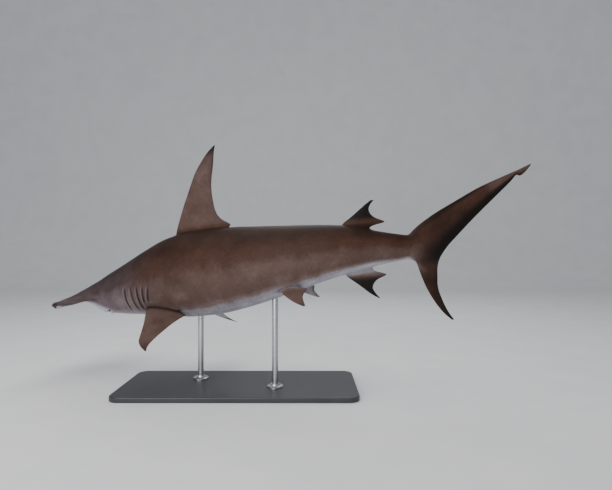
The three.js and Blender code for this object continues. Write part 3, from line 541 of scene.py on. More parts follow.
def fin_surface(name, side, c, height, face):
    """A point of a fin: from its leading edge a share c of the chord back, at a height above
    the base, a half thickness off its middle plane. Straight place, in metres."""
    fin = FINS[name]
    lead, trail = FIN_CURVES[name]
    along = (lead(height) + (trail(height) - lead(height)) * c) * LENGTH
    v = np.clip(height / FIN_ROWS[name][-1, 0], 0, 1)
    flare = fin["flare"] * np.exp(-np.maximum(0, height) * LENGTH / FLARE_FADE)
    half = (fin["root"] * (1 - v) ** 0.8 + FIN_SKIN + flare) * fin_section(c)
    half = np.where((c <= 0) | (c >= 1), 0, np.maximum(FIN_EDGE, half)) * face
    up = height * LENGTH
    if "tilt" not in fin:
        base = (body_top if side > 0 else body_bottom)(fin["at"]) * LENGTH
        return np.stack([fin["at"] * LENGTH + along, half, base + side * up], -1)
    droop, tilt = math.radians(fin["down"]), math.radians(fin["tilt"])
    chord = np.array([math.cos(tilt), 0, -math.sin(tilt)])
    span = np.array([fin["sweep"], side * math.cos(droop), -math.sin(droop)])
    span = span / np.linalg.norm(span)
    normal = np.cross(chord, span)
    normal = normal / np.linalg.norm(normal) * side
    origin = np.array([fin["at"], side * fin["across"], fin["up"]]) * LENGTH
    return origin + chord * along[..., None] + span * up[..., None] + normal * half[..., None]


def fin_root(name, side, c, face):
    """The height at which each line up the fin's surface leaves the trunk, found on a fine
    row of heights and set between two of them by a straight line."""
    heights = np.linspace(FIN_ROWS[name][0, 0], FIN_ROWS[name][3, 0], 160)
    points = fin_surface(name, side, c, np.repeat(heights[:, None], len(c), 1), face)
    value = outside(points)[0]
    inside = value < 0
    last = np.where(inside.any(0), len(heights) - 1 - np.argmax(inside[::-1], 0), 0)
    last = np.minimum(last, len(heights) - 2)
    pick = np.arange(len(c))
    a, b = value[last, pick], value[last + 1, pick]
    share = np.clip(np.where(np.abs(b - a) > 1e-9, -a / (b - a), 0), 0, 1)
    return heights[last] + (heights[1] - heights[0]) * share


def root_points(name, side, c, face):
    """The places at which the fin's lines leave the trunk."""
    return fin_surface(name, side, c, fin_root(name, side, c, face), face)


def body_stations():
    """Stations at equal steps of the integral of 1 / ROW_SPACING."""
    s = np.linspace(NECK, TAIL + LOBE_REACH, 4001)
    density = LENGTH / np.interp(s, ROW_SPACING[:, 0], ROW_SPACING[:, 1])
    total = np.concatenate([[0], np.cumsum((density[1:] + density[:-1]) / 2 * (s[1] - s[0]))])
    count = int(round(total[-1]))
    return np.interp(np.linspace(0, total[-1], count + 1), total, s)


def fin_shade(name, v, c, face):
    """How dusky a fin is and its tone, at a share v of its height and c of its chord."""
    tone = np.full_like(v, 0.42)
    if name in ("second_dorsal", "anal"):
        dusk = 0.95 * smooth(0.02, 0.30, v)
    elif name == "lower_caudal":
        dusk = 0.35 + 0.4 * smooth(0.45, 1.0, v) + 0.4 * smooth(0.6, 1.0, c)
        tone[:] = 0.16
    elif name == "first_dorsal":
        rim = np.maximum(smooth(0.78, 1.0, c), 1 - smooth(0.0, 0.10, c)) * smooth(0.25, 0.80, v)
        dusk = (0.15 * smooth(0.5, 0.9, v) + 0.85 * smooth(0.86, 0.98, v) + 0.45 * rim
                + 0.25 * smooth(0.90, 1.0, c))
        tone[:] = 0.52
    elif name == "pectoral":
        dusk = 0.25 * smooth(0.72, 1.0, v) + 0.20 * smooth(0.90, 1.0, c)
        tone = np.where(face < 0, 0.92 - 0.5 * smooth(0.70, 0.95, v), 0.45)
    else:
        dusk = 0.2 * smooth(0.7, 1.0, v)
        tone = np.where(face < 0, 0.85, 0.50)
    return np.clip(dusk, 0, 1), tone


def body_tone(p):
    """The trunk's and head's tone by height: 0 along the back, about 0.5 low on the flank,
    then up to 1 on the belly. The belly's edge lies higher on the head. The rise from the back
    to the lower flank is partly the shark's own countershading and partly painted light that
    stands in for light bounced up from the sea floor."""
    s = p[..., 0] / LENGTH
    top, bottom = outline(s)[:2]
    share = (p[..., 2] - bottom) / np.maximum(1e-4, top - bottom)
    edge = np.interp(s, BELLY_EDGE[:, 0], BELLY_EDGE[:, 1])
    flank = 0.54 * (1 - smooth(0.25, 1.05, share))
    return flank + (1 - flank) * (1 - smooth(edge - 0.09, edge + 0.10, share))


def turn_from(points, angle):
    """How far round the trunk points lie from an angle, between -pi and pi."""
    return (outside(points)[1] - angle + np.pi) % (2 * np.pi) - np.pi


def add_trunk(cage, ring):
    """The trunk, tail stock and upper lobe as rings of COLUMNS points. Under each fin one
    column opens like a slit round the fin's root, and the points about it make room: their
    shifts along and round the trunk are the mean of their neighbours' shifts. Gives each
    fin's name and root loop."""
    stations = body_stations()
    angles = 2 * np.pi * np.arange(COLUMNS) / COLUMNS
    s, angle = np.meshgrid(stations, angles, indexing="ij")
    rows = len(stations)
    numbers = np.arange(rows * COLUMNS).reshape(rows, COLUMNS)
    plus, minus = numbers.copy(), numbers.copy()
    count = rows * COLUMNS
    jobs, extra_s, extra_angle = [], [], []
    for name, side in [(name, side) for name in FINS for side in FINS[name]["sides"]]:
        places = root_points(name, side, np.array([0.0, 0.5, 1.0]), 0)
        column = int(round(float(outside(places)[1][1]) / (2 * np.pi) * COLUMNS)) % COLUMNS
        first, last = (int(np.argmin(np.abs(stations - places[k, 0] / LENGTH))) for k in (0, 2))
        n = last - first
        inner = np.arange(first + 1, last)
        new = np.arange(count, count + n - 1)
        count += n - 1
        minus[inner, column] = new
        extra_s.append(stations[inner])
        extra_angle.append(np.full(n - 1, angles[column]))
        c = 1 - np.cos(np.pi / 2 * np.arange(n + 1) / n)
        loop_c = np.concatenate([c, c[-2:0:-1]])
        face = np.concatenate([[0], np.ones(n - 1), [0], -np.ones(n - 1)])
        loop = np.concatenate([
            [numbers[first, column]], plus[inner, column], [numbers[last, column]],
            minus[inner, column][::-1],
        ])
        jobs.append((name, side, loop, loop_c, face, angles[column]))
    all_s = np.concatenate([s.ravel(), *extra_s])
    all_angle = np.concatenate([angle.ravel(), *extra_angle])
    right = np.roll(minus, -1, 1)
    quads = np.stack([plus[:-1], plus[1:], right[1:], right[:-1]], -1).reshape(-1, 4)

    # which side of its fin each half of a slit lies on, and where the root meets the trunk
    shift = np.zeros((count, 2))
    fixed = np.zeros(count, bool)
    fixed[numbers[0]] = fixed[numbers[-1]] = True
    roots = []
    for name, side, loop, c, face, column_angle in jobs:
        n = len(loop) // 2
        trial = root_points(name, side, c, face)
        turn = turn_from(trial, column_angle)
        if turn[1:n].mean() < turn[n + 1:].mean():
            face = -face
            trial = root_points(name, side, c, face)
            turn = turn_from(trial, column_angle)
        shift[loop, 0] = trial[:, 0] / LENGTH - all_s[loop]
        shift[loop, 1] = turn
        fixed[loop] = True
        roots.append((name, side, loop, c, face, trial))
    free = ~fixed[:, None]
    for _ in range(ROOM_ROUNDS):
        shift = np.where(free, neighbours_mean(shift, quads) * ROOM_HOLD, shift)
    points = body_surface(all_s + shift[:, 0], all_angle + shift[:, 1])

    # the first rows run smoothly out of the head's own ring
    head_points = np.concatenate(cage.rows)[ring, :3]
    offset = head_points - points[numbers[0]]
    fade = 1 - smooth(0, HEAD_BLEND_ROWS, np.arange(rows))[:, None, None]
    points[: rows * COLUMNS] += (fade * offset[None]).reshape(-1, 3)
    for _, _, loop, _, _, trial in roots:
        points[loop] = trial

    lobe_own = smooth(TAIL - 0.01, TAIL + 0.05, points[COLUMNS:, 0] / LENGTH)
    dusk, tone = lobe_shade(points[COLUMNS:])
    ids = cage.add(points[COLUMNS:], dusk=dusk, tone=tone, own=lobe_own)
    ids = np.concatenate([ring, ids.ravel()])
    cage.quads.append(ids[quads])
    cage.cap(ids[np.roll(numbers[-1], -COLUMNS // 4)])
    for name, side, loop, c, face, _ in roots:
        add_fin(cage, name, side, ids[loop], c, face)
    return [(root[0], ids[root[2]]) for root in roots]


def lobe_shade(p):
    """How dusky the upper lobe is, and its tone: a dark band along the front half of the
    leading edge, a dark rear margin, and a paler ridge that grows towards the tip."""
    d = p[..., 0] / LENGTH - TAIL
    v = d / LOBE_REACH
    high, low = lobe_high(d) * LENGTH, lobe_low(d) * LENGTH
    c = np.clip((high - p[..., 2]) / np.maximum(1e-4, high - low), 0, 1)
    front = 0.80 * (1 - smooth(0.04, 0.16, c)) * (1 - smooth(0.40, 0.75, v))
    rear = 0.97 * smooth(0.40, 0.78, c) * (1 - 0.7 * smooth(0.75, 0.95, v))
    dusk = np.clip(np.maximum(front, rear) * smooth(-0.02, 0.05, d), 0, 1)
    behind = smooth(0.35, 0.70, c) * (1 - smooth(0.8, 1.0, v))
    return dusk, 0.14 + 0.42 * smooth(0.25, 0.85, v) * (1 - behind)


def add_fin(cage, name, side, root, c, face):
    """A fin grown from its root loop: loops at rising heights, then a cap on the tip. The
    second loop takes in the free rear tip."""
    start = fin_root(name, side, c, face)
    free = np.maximum(FIN_ROWS[name][2, 0], start + FREE_TIP_LIFT)
    tip = FIN_ROWS[name][-1, 0]
    count = FINS[name]["levels"]
    rise = np.sin(np.pi / 2 * np.arange(1, count + 1) / count) ** 1.15
    heights = np.concatenate([
        [start + 0.35 * (free - start), start + 0.7 * (free - start), free],
        free + (tip - free) * rise[:, None],
    ])
    loops_c = np.broadcast_to(c, heights.shape)
    loops_face = np.broadcast_to(face, heights.shape)
    points = fin_surface(name, side, loops_c, heights, loops_face)
    v = np.clip(heights / tip, 0, 1)
    dusk, tone = fin_shade(name, v, loops_c, loops_face)
    fade = np.concatenate([[0.2, 0.4, 0.6, 0.8], np.ones(count - 1)])[:, None]
    own = np.broadcast_to(fade, v.shape)
    loops = cage.add(points, dusk=dusk * fade, tone=tone, own=own, ray=loops_c)
    cage.loft(np.concatenate([root[None], loops]))
    cage.cap(loops[-1])


def eye_centre(side):
    """The eyeball's centre in the straight animal."""
    across = HAMMER["half_span"] * LENGTH - EYE["inset"]
    return np.array([EYE["at"] * LENGTH, side * across, -HAMMER["droop"] * LENGTH])


def gill_share(slit, z):
    """0 at the lower end of a gill slit and 1 at the upper."""
    _, _, middle, height = slit
    return (z - middle) / height + 0.5


def gill_line(slit, z):
    """Station of a gill slit at a height: slightly bowed forwards and leaning."""
    at, lean, _, _ = slit
    v = gill_share(slit, z)
    return at + lean * (1 - v) - GILL_BOW * (0.25 - (v - 0.5) ** 2)


def follow_gills(p, hold):
    """Slides points along the trunk so that the mesh's rows run along the slits: the shift at
    a slit is its line minus its upper end, between two slits a straight mix, and it fades out
    above, below and where hold is 1 (by the pectoral fin). The surface stays where it is."""
    s, z = p[:, 0] / LENGTH, p[:, 2] / LENGTH
    tops = np.array([slit[0] for slit in GILLS])
    lines = np.stack([gill_line(slit, z) for slit in GILLS])
    knots = np.concatenate([[tops[0] - 0.03], tops, [tops[-1] + 0.03]])
    lean = np.concatenate([[0 * z], lines - tops[:, None], [0 * z]])
    i = np.clip(np.searchsorted(knots, s) - 1, 0, len(knots) - 2)
    mix = np.clip((s - knots[i]) / (knots[i + 1] - knots[i]), 0, 1)
    pick = np.arange(len(p))
    shift = lean[i, pick] + (lean[i + 1, pick] - lean[i, pick]) * mix
    shift *= smooth(0.045, 0.012, z) * smooth(-0.060, -0.040, z) * (1 - hold)
    move = (np.abs(p[:, 1]) > 0.06) & (s > knots[0]) & (s < knots[-1]) & (np.abs(shift) > 1e-6)
    _, angle = outside(p[move])
    before = body_surface(s[move], angle)
    after = body_surface(s[move] + shift[move], angle)
    p[move] += after - before


def carve_gills(p, shape, hold):
    """Each slit: the skin in front swells into a flap, drops at the slit over 5 mm and rises
    again behind it. Ends fade out, also where hold is 1 (by the pectoral fin). Changes the
    places, gives the painted shade in each slit and how flushed the skin is in front of it."""
    dark = np.zeros(len(p))
    flush = np.zeros(len(p))
    push = np.zeros(len(p))
    s, z = p[:, 0] / LENGTH, p[:, 2] / LENGTH
    flank = ((np.abs(p[:, 1]) > 0.09) & (s > 0.13) & (s < 0.26)) * (1 - smooth(0.30, 0.75, hold))
    for slit in GILLS:
        v = gill_share(slit, z)
        ends = smooth(-0.05, 0.14, v) * (1 - smooth(0.84, 1.05, v)) * flank
        x = (s - gill_line(slit, z)) * LENGTH
        drop = smooth(-0.0026, 0.0026, x)
        flap = shape.gill_flap * np.exp(np.minimum(0, x) / 0.014)
        sink = -shape.gill_depth * np.exp(-np.maximum(0, x - 0.001) / 0.0075)
        push += ends * (flap * (1 - drop) + sink * drop)
        # painted shade in each slit, where the skin drops away
        dark = np.maximum(dark, ends * bump(x - 0.0020, 0.0036))
        flush = np.maximum(flush, ends * bump(x + 0.008, 0.006))
    p[:, 1] += push * np.sign(p[:, 1])
    return dark, flush


def mouth_offset(p):
    """Distance in front of (positive) or behind the line of the mouth, a parabola, and how
    far along it the point lies, -1 to 1."""
    t = p[:, 1] / LENGTH / MOUTH["half_width"]
    s = p[:, 0] / LENGTH
    line = MOUTH["front"] + (MOUTH["corner"] - MOUTH["front"]) * t**2
    slope = 2 * (MOUTH["corner"] - MOUTH["front"]) * t / MOUTH["half_width"]
    return (line - s) * LENGTH / np.sqrt(1 + slope**2), t


def carve_mouth(p, shape):
    """The line of the mouth sinks in, between an upper lip and a fuller lower lip, and the
    corners end in a short fold. Changes the places, gives where the mouth is."""
    x, t = mouth_offset(p)
    under = p[:, 2] < -0.03
    near = under * (1 - smooth(1.0, 1.16, np.abs(t))) * (p[:, 0] / LENGTH < 0.13)
    push = shape.mouth_depth * bump(x, 0.0075)
    push -= shape.lip * (bump(x - 0.019, 0.011) + 1.3 * bump(x + 0.019, 0.012))
    p[:, 2] += near * push
    return near


def carve_nostrils(p):
    """A slit under the front edge, near the tip, that runs inwards as a shallow groove.
    Changes the places, gives where the slit is, which the skin darkens as painted shade."""
    span = HAMMER["half_span"] * LENGTH
    q = np.clip(np.abs(p[:, 1]) / span, 0, 1)
    x = p[:, 0] - hammer_front(q) * LENGTH
    z = p[:, 2] - hammer_middle(q, 0)
    y = np.abs(p[:, 1]) - NOSTRIL["across"] * LENGTH
    along = 1 - smooth(0.75, 1.1, np.abs(y) / (NOSTRIL["length"] / 2))
    slit = along * bump(x - 0.006, 0.0055) * (z < 0.001)
    groove_and_shade = bump(x - 0.006, 0.006) * (z < 0.001) * smooth(-0.16, -0.02, y) * (y < 0)
    p[:, 2] += 0.007 * slit + 0.0022 * groove_and_shade
    return slit


def shape_lids(p, shape):
    """Round each eye: inside the opening the skin lies behind the eyeball, at its edge it
    stands just proud as a lid, and further out it runs back into the hammer. Changes the
    places, gives how dark the ring round the eye is."""
    dark = np.zeros(len(p))
    opening = math.degrees(shape.eye_opening)
    for side in (1, -1):
        centre = eye_centre(side)
        d = p - centre
        r = np.linalg.norm(d, axis=1)
        near = r < EYE["radius"] * 2.2
        turn = np.degrees(np.arccos(np.clip(side * d[:, 1] / np.maximum(r, 1e-6), -1, 1)))
        inner = 1 - smooth(opening - 5, opening + 1, turn)
        lid = bump(turn - opening - 9, 10)
        rim = EYE["radius"] + 0.0008 + shape.lid * lid
        hold = (1 - smooth(opening + 8, opening + 34, turn)) * near
        target = rim + (EYE["radius"] * 0.86 - rim) * inner
        new = r + (target - r) * hold
        cover = near * smooth(opening - 1, opening + 3, turn)
        new = np.maximum(new, cover * (EYE["radius"] + 0.0014))
        p += d / np.maximum(r, 1e-6)[:, None] * (new - r)[:, None]
        dark = np.maximum(dark, near * bump(np.maximum(0, turn - opening - 4), 14) * 0.85)
    return dark


def skin_arrays(shape):
    """The whole skin, still straight: head, trunk and fins as one cage, eased at the joins,
    divided once and carved. Gives the points, their places before the carving, the faces and
    the values that the material reads."""
    cage = Cage()
    loops = add_trunk(cage, add_head(cage))
    rows, quads = cage.data()

    root, crease_shade = np.zeros((len(rows), 1)), np.zeros((len(rows), 1))
    # crease_shade: painted shade along each fin's root, where fin and trunk meet, darkest by the
    # pelvic and pectoral fins, then spread a little onto the skin round it
    for name, loop in loops:
        root[loop] = 1
        crease_shade[loop] = {"pectoral": 0.6, "pelvic": 0.8}.get(name, 0.4)
    for _ in range(ROOT_ROUNDS):
        root = np.maximum(root, neighbours_mean(root, quads) * ROOT_SPREAD).clip(0, 1)
    crease_shade = np.maximum(crease_shade, 1.3 * neighbours_mean(crease_shade, quads))
    s, y = rows[:, 0] / LENGTH, np.abs(rows[:, 1]) / LENGTH
    cheek = (bump(y - HAMMER["neck_half"], 0.016) * (1 - smooth(0.085, 0.125, s))
             * smooth(0.02, 0.04, s))
    ease = np.maximum.reduce([root[:, 0], 0.9 * cheek, 0.8 * bump(s - 0.105, 0.02)])[:, None]
    for _ in range(EASE_ROUNDS):
        rows = rows + ease * EASE_SHARE * (neighbours_mean(rows, quads) - rows)
    rows = np.concatenate([rows, crease_shade, root], 1)

    rows, quads = subdivided(rows, quads)
    p = rows[:, :3].copy()
    dusk, tone, own, ray, crease_shade, root = rows[:, 3:].T
    hold = np.clip(np.maximum(root, own), 0, 1)
    follow_gills(p, hold)
    tone = tone * own + body_tone(p) * (1 - own)
    straight = p.copy()
    lids = shape_lids(p, shape)
    gills, flush = carve_gills(p, shape, hold)
    mouth = carve_mouth(p, shape)
    # painted shade of the fold between the pectoral fin and the flank, laid on the fin a little way
    # up from its root, where own passes 1/2
    pectoral = (np.abs(straight[:, 1]) > 0.16) & (np.abs(straight[:, 0] / LENGTH - 0.255) < 0.065)
    crease_shade = np.maximum(crease_shade, 1.3 * pectoral * bump(own - 0.45, 0.28))
    # groove_and_shade: painted shade in the gill slits and the nostril slits, and the dark ring
    # round each eye
    groove_and_shade = np.maximum.reduce([lids, gills, carve_nostrils(p)])
    s = p[:, 0] / LENGTH
    values = {
        "tone": tone,
        "dusk": dusk,
        "groove_and_shade": np.clip(groove_and_shade, 0, 1),
        "flush": flush,
        "ray": ray,
        "fin": own * (np.abs(straight[:, 0] / LENGTH - 0.05) > 0.06),
        "mouth": mouth,
        "crease_shade": np.clip(crease_shade, 0, 1),
        "head": 1 - smooth(0.11, 0.27, s),
        "pores": smooth(0.45, 0.8, tone) * (1 - smooth(0.05, 0.075, s)) * (groove_and_shade < 0.05),
    }
    return p, straight, quads, values


def mesh_object(name, points, faces, values=None, straight=None, closed=True):
    """A smooth-shaded mesh from arrays, with its values as point attributes. A closed one has
    its faces turned outwards."""
    mesh = bpy.data.meshes.new(name)
    mesh.from_pydata(points.tolist(), [], faces)
    for key, value in (values or {}).items():
        layer = mesh.attributes.new(key, "FLOAT", "POINT")
        layer.data.foreach_set("value", np.ascontiguousarray(value, np.float32))
    if straight is not None:
        layer = mesh.attributes.new("straight", "FLOAT_VECTOR", "POINT")
        layer.data.foreach_set("vector", np.ascontiguousarray(straight, np.float32).ravel())
    if closed:
        work = bmesh.new()
        work.from_mesh(mesh)
        bmesh.ops.recalc_face_normals(work, faces=work.faces)
        work.to_mesh(mesh)
        work.free()
    mesh.polygons.foreach_set("use_smooth", np.ones(len(mesh.polygons), bool))
    mesh.update()
    piece = bpy.data.objects.new(name, mesh)
    bpy.context.scene.collection.objects.link(piece)
    return piece


def linear(colour):
    """An sRGB hex colour as linear red, green, blue and 1."""
    value = [int(colour[k:k + 2], 16) / 255 for k in (1, 3, 5)]
    return tuple(
        v / 12.92 if v <= 0.04045 else ((v + 0.055) / 1.055) ** 2.4 for v in value) + (1.0,)


def add_node(tree, kind, inputs=(), out=0, stops=(), **settings):
    """Adds a shader node, sets its properties, sets or links its inputs (in order, or by name
    or number), and gives one of its outputs. A ramp also has stops: a position and a colour,
    as sRGB hex or linear."""
    node = tree.nodes.new("ShaderNode" + kind)
    for key, value in settings.items():
        setattr(node, key, value)
    for key, value in inputs.items() if isinstance(inputs, dict) else enumerate(inputs):
        if isinstance(value, bpy.types.NodeSocket):
            tree.links.new(value, node.inputs[key])
        else:
            node.inputs[key].default_value = value
    if stops:
        node.color_ramp.interpolation = "EASE"
        while len(node.color_ramp.elements) < len(stops):
            node.color_ramp.elements.new(0.5)
        for element, (at, colour) in zip(node.color_ramp.elements, stops):
            element.position = at
            element.color = linear(colour) if isinstance(colour, str) else colour
    return node.outputs[out] if len(node.outputs) else None


def new_material(name):
    """An empty material, and the function that adds a node to it."""
    material = bpy.data.materials.new(name)
    material.use_nodes = True
    material.node_tree.nodes.clear()
    return material, partial(add_node, material.node_tree)


def mouth_line(node, straight, mouth):
    """How dark the mouth's line is, painted shade in the gap of the closed mouth: 1 within 2.5 mm
    of the parabola that mouth_offset gives, falling to 0 at 8 mm as a soft halo of painted
    shade, with t the share of the half width."""
    half_width = MOUTH["half_width"] * LENGTH
    depth = (MOUTH["corner"] - MOUTH["front"]) * LENGTH
    y = node("SeparateXYZ", (straight,), out="Y")
    t = node("Math", (y, half_width), operation="DIVIDE")
    square = node("Math", (t, t), operation="MULTIPLY")
    line = node("Math", (square, depth, MOUTH["front"] * LENGTH), operation="MULTIPLY_ADD")
    slope = node("Math", (t, 2 * depth / half_width), operation="MULTIPLY")
    steep = node("Math", (slope, slope, 1.0), operation="MULTIPLY_ADD")
    steep = node("Math", (steep,), operation="SQRT")
    gap = node("Math", (y.node.outputs["X"], line), operation="SUBTRACT")
    gap = node("Math", (gap, steep), operation="DIVIDE")
    gap = node("Math", (gap,), operation="ABSOLUTE")
    dark = node("MapRange", {
        "Value": gap, "From Min": 0.0025, "From Max": 0.008, "To Min": 1.0, "To Max": 0.0,
    }, interpolation_type="SMOOTHSTEP")
    return node("Math", (dark, mouth), operation="MULTIPLY")


def skin_material(look):
    """Living shark skin: dark brown above and pale below, satin and faintly rough like fine
    sandpaper from its tooth-like scales, with mottling, and with painted shade along the fin
    roots and in the slits and the mouth's line."""
    material, node = new_material("shark_skin_satin_denticles")
    straight = node("Attribute", out="Vector", attribute_name="straight")
    tone, dusk, groove_and_shade, flush, ray, fin, mouth, crease_shade, head, pores = (
        node("Attribute", out="Fac", attribute_name=name) for name in (
            "tone", "dusk", "groove_and_shade", "flush", "ray", "fin", "mouth", "crease_shade", "head", "pores"))
    cloud, fine = (
        node("TexNoise", {
            "Vector": straight, "Scale": scale, "Detail": detail, "Roughness": rough}, out="Fac")
        for scale, detail, rough in ((8.0, 6.0, 0.62), (75.0, 4.0, 0.65)))
    ragged = node("Math", (cloud, 0.5), operation="SUBTRACT")
    tone = node("Math", (ragged, 0.34, tone), operation="MULTIPLY_ADD", use_clamp=True)
    # the ramps run from the dark back to the pale belly; the lighter lower flank is partly painted
    # light bounced up from below
    brown = node("ValToRGB", (tone,), stops=(
        (0.0, look.back), (0.30, "#473027"), (0.52, look.flank), (0.66, "#6d5e5b"),
        (0.84, "#918c92"), (1.0, look.belly)))
    grey = node("ValToRGB", (tone,), stops=(
        (0.0, look.head_back), (0.30, "#473b3c"), (0.52, look.head_flank), (0.66, "#82777c"),
        (0.84, "#9c98a1"), (1.0, look.head_belly)))
    mottle = node("ValToRGB", (cloud,), stops=((0.30, "#cfcac6"), (0.70, "#ffffff")))
    speckle = node("ValToRGB", (fine,), stops=((0.35, "#d8d4d0"), (0.65, "#ffffff")))
    # sense pores under the hammer, about 2.5 mm across and 9 mm apart
    dots = node("MapRange", {
        "Value": node("TexVoronoi", {"Vector": straight, "Scale": 110.0}, out="Distance"),
        "From Min": 0.10, "From Max": 0.18, "To Min": 0.75, "To Max": 0.0})
    pores = node("Math", (dots, pores), operation="MULTIPLY")
    flush = node("Math", (flush, 0.50), operation="MULTIPLY")
    # painted shade along the fin roots and at the pectoral fin's fold against the flank
    crease_shade = node("Math", (crease_shade, 0.9), operation="MULTIPLY")
    # painted shade in the gill slits, the nostril slits and the closed mouth's line, and the dark
    # ring round each eye
    groove_and_shade = node("Math", (groove_and_shade, mouth_line(node, straight, mouth)), operation="MAXIMUM")
    groove_and_shade = node("Math", (groove_and_shade, 0.92), operation="MULTIPLY")
    colour = brown
    for share, over, blend in (
        (head, grey, "MIX"), (0.45, mottle, "MULTIPLY"), (0.5, speckle, "MULTIPLY"),
        (flush, linear("#86756f"), "MIX"), (dusk, look.dusk, "MIX"),
        (crease_shade, linear("#20140f"), "MIX"), (groove_and_shade, linear("#120d0d"), "MIX"),
        (pores, linear("#2b2626"), "MIX"),
    ):
        colour = node(
            "Mix", {0: share, 6: colour, 7: over}, out=2, data_type="RGBA", blend_type=blend)
    # stiff horny rays inside a fin, about 3 mm apart, show as faint ridges from root to rim
    rays = node("TexNoise", {
        "W": node("Math", (ray, 46.0), operation="MULTIPLY"), "Scale": 1.0, "Detail": 2.0,
        "Roughness": 0.6}, out="Fac", noise_dimensions="1D")
    rays = node("Math", (rays, fin), operation="MULTIPLY")
    # real denticles are 0.3 mm and would not show: drawn 3 mm long
    height = node("TexVoronoi", {"Vector": straight, "Scale": 330.0}, out="Distance")
    for part, share, below in ((height, 0.25, fine), (pores, -0.6, None), (rays, 1.6, None)):
        height = node("Math", (part, share, below or height), operation="MULTIPLY_ADD")
    node("OutputMaterial", {"Surface": node("BsdfPrincipled", {
        "Base Color": colour,
        "Roughness": node("MapRange", {"Value": fine, "To Min": 0.44, "To Max": 0.62}),
        "Normal": node("Bump", {"Height": height, "Strength": 0.30, "Distance": 0.002}),
        "IOR": 1.42, "Specular IOR Level": 0.20,
    })})
    return material


def eye_material(look):
    """A glass eye: a clear, hard-polished cornea over a dark pupil and a bronze-grey iris."""
    material, node = new_material("eye_polished_glass")
    turn = node("Attribute", out="Fac", attribute_name="from_axis")
    iris = node("ValToRGB", (node("MapRange", {"Value": turn, "From Max": 60.0}),), stops=(
        (0.0, "#040405"), (0.40, "#050506"), (0.46, "#15130f"), (0.60, look.iris),
        (0.70, "#0d0b0a"), (1.0, "#0d0b0a")))
    node("OutputMaterial", {"Surface": node("BsdfPrincipled", {
        "Base Color": iris, "Roughness": 0.10, "Specular IOR Level": 0.30, "Coat Weight": 0.12,
        "Coat Roughness": 0.03, "IOR": 1.5,
    })})
    return material


def eyeball_arrays(side):
    """A ball whose radius swells by 1.2 mm over the cornea, as rings of points round the
    direction of gaze with a pole at each end. Gives the points, the faces, and each point's
    angle from that direction in degrees."""
    columns, rows, cornea = 64, 33, 0.0012
    turn, angle = np.meshgrid(np.linspace(0, np.pi, rows + 1)[1:-1],
                              2 * np.pi * np.arange(columns) / columns, indexing="ij")
    radius = EYE["radius"] + cornea * bump(np.degrees(turn), 26)
    local = np.stack([
        np.sin(turn) * np.cos(angle), side * np.cos(turn), np.sin(turn) * np.sin(angle)], -1)
    points = eye_centre(side) + local * radius[..., None]
    poles = eye_centre(side) + np.array([
        [0, side * (EYE["radius"] + cornea), 0], [0, -side * EYE["radius"], 0]])
    grid = np.arange(turn.size).reshape(turn.shape)
    right = np.roll(grid, -1, 1)
    faces = np.stack([grid[:-1], grid[1:], right[1:], right[:-1]], -1).reshape(-1, 4).tolist()
    for pole, a, b in ((turn.size, grid[0], right[0]), (turn.size + 1, right[-1], grid[-1])):
        faces += np.stack([np.full(columns, pole), a, b], 1).tolist()
    turns = np.concatenate([np.degrees(turn).ravel(), [0, 180]])
    return np.concatenate([points.reshape(-1, 3), poles]), faces, turns


def hard_finish(name, stretch, sway, grain, colours, rough, relief, metallic=0.0):
    """A hard surface of one colour: a noise (scale, detail) sways the colour and the roughness
    between two values, and another gives the relief of a bump 0.4 mm deep. The stretch is the
    number of waves in a metre along x, y and z for a scale of 1."""
    material, node = new_material(name)
    place = node("Mapping", {"Vector": node("TexCoord", out="Object"), "Scale": stretch})
    sways, bumps = (
        node("TexNoise", {"Vector": place, "Scale": scale, "Detail": detail}, out="Fac")
        for scale, detail in (sway, grain))
    node("OutputMaterial", {"Surface": node("BsdfPrincipled", {
        "Base Color": node("ValToRGB", (sways,), stops=((0.3, colours[0]), (0.7, colours[1]))),
        "Roughness": node("MapRange", {"Value": sways, "To Min": rough[0], "To Max": rough[1]}),
        "Normal": node("Bump", {"Height": bumps, "Strength": relief, "Distance": 0.0004}),
        "Metallic": metallic,
    })})
    return material


def brushed_steel():
    """Brushed stainless steel: a satin metal whose grinding lines run round the rod, so that
    its highlight spreads along it."""
    return hard_finish("stainless_steel_brushed", (20.0, 20.0, 900.0), (1.0, 3.0), (1.0, 3.0),
                       ("#a4a7aa", "#c3c5c7"), (0.26, 0.42), 0.12, 1.0)


def lacquered_board():
    """Satin lacquer on fibreboard: even dark grey with a very fine spray texture."""
    return hard_finish("fibreboard_satin_lacquer", (1.0, 1.0, 1.0), (4.0, 3.0), (420.0, 2.0),
                       ("#2a2c2f", "#313337"), (0.36, 0.46), 0.10)


def sweep_material():
    """Matt studio paper: pale, with a faint fibre."""
    material, node = new_material("studio_paper_matt")
    fibre = node("TexNoise", {
        "Vector": node("TexCoord", out="Object"), "Scale": 3.0, "Detail": 2.0}, out="Fac")
    node("OutputMaterial", {"Surface": node("BsdfPrincipled", {
        "Base Color": node("ValToRGB", (fibre,), stops=((0.3, "#dfe2e4"), (0.7, "#e4e6e8"))),
        "Roughness": 0.9,
    })})
    return material


METRES = {"subtype": "DISTANCE", "unit": "LENGTH"}
WATTS = {"subtype": "POWER", "unit": "POWER"}
COLOUR = {"subtype": "COLOR", "size": 4, "min": 0.0, "max": 1.0}


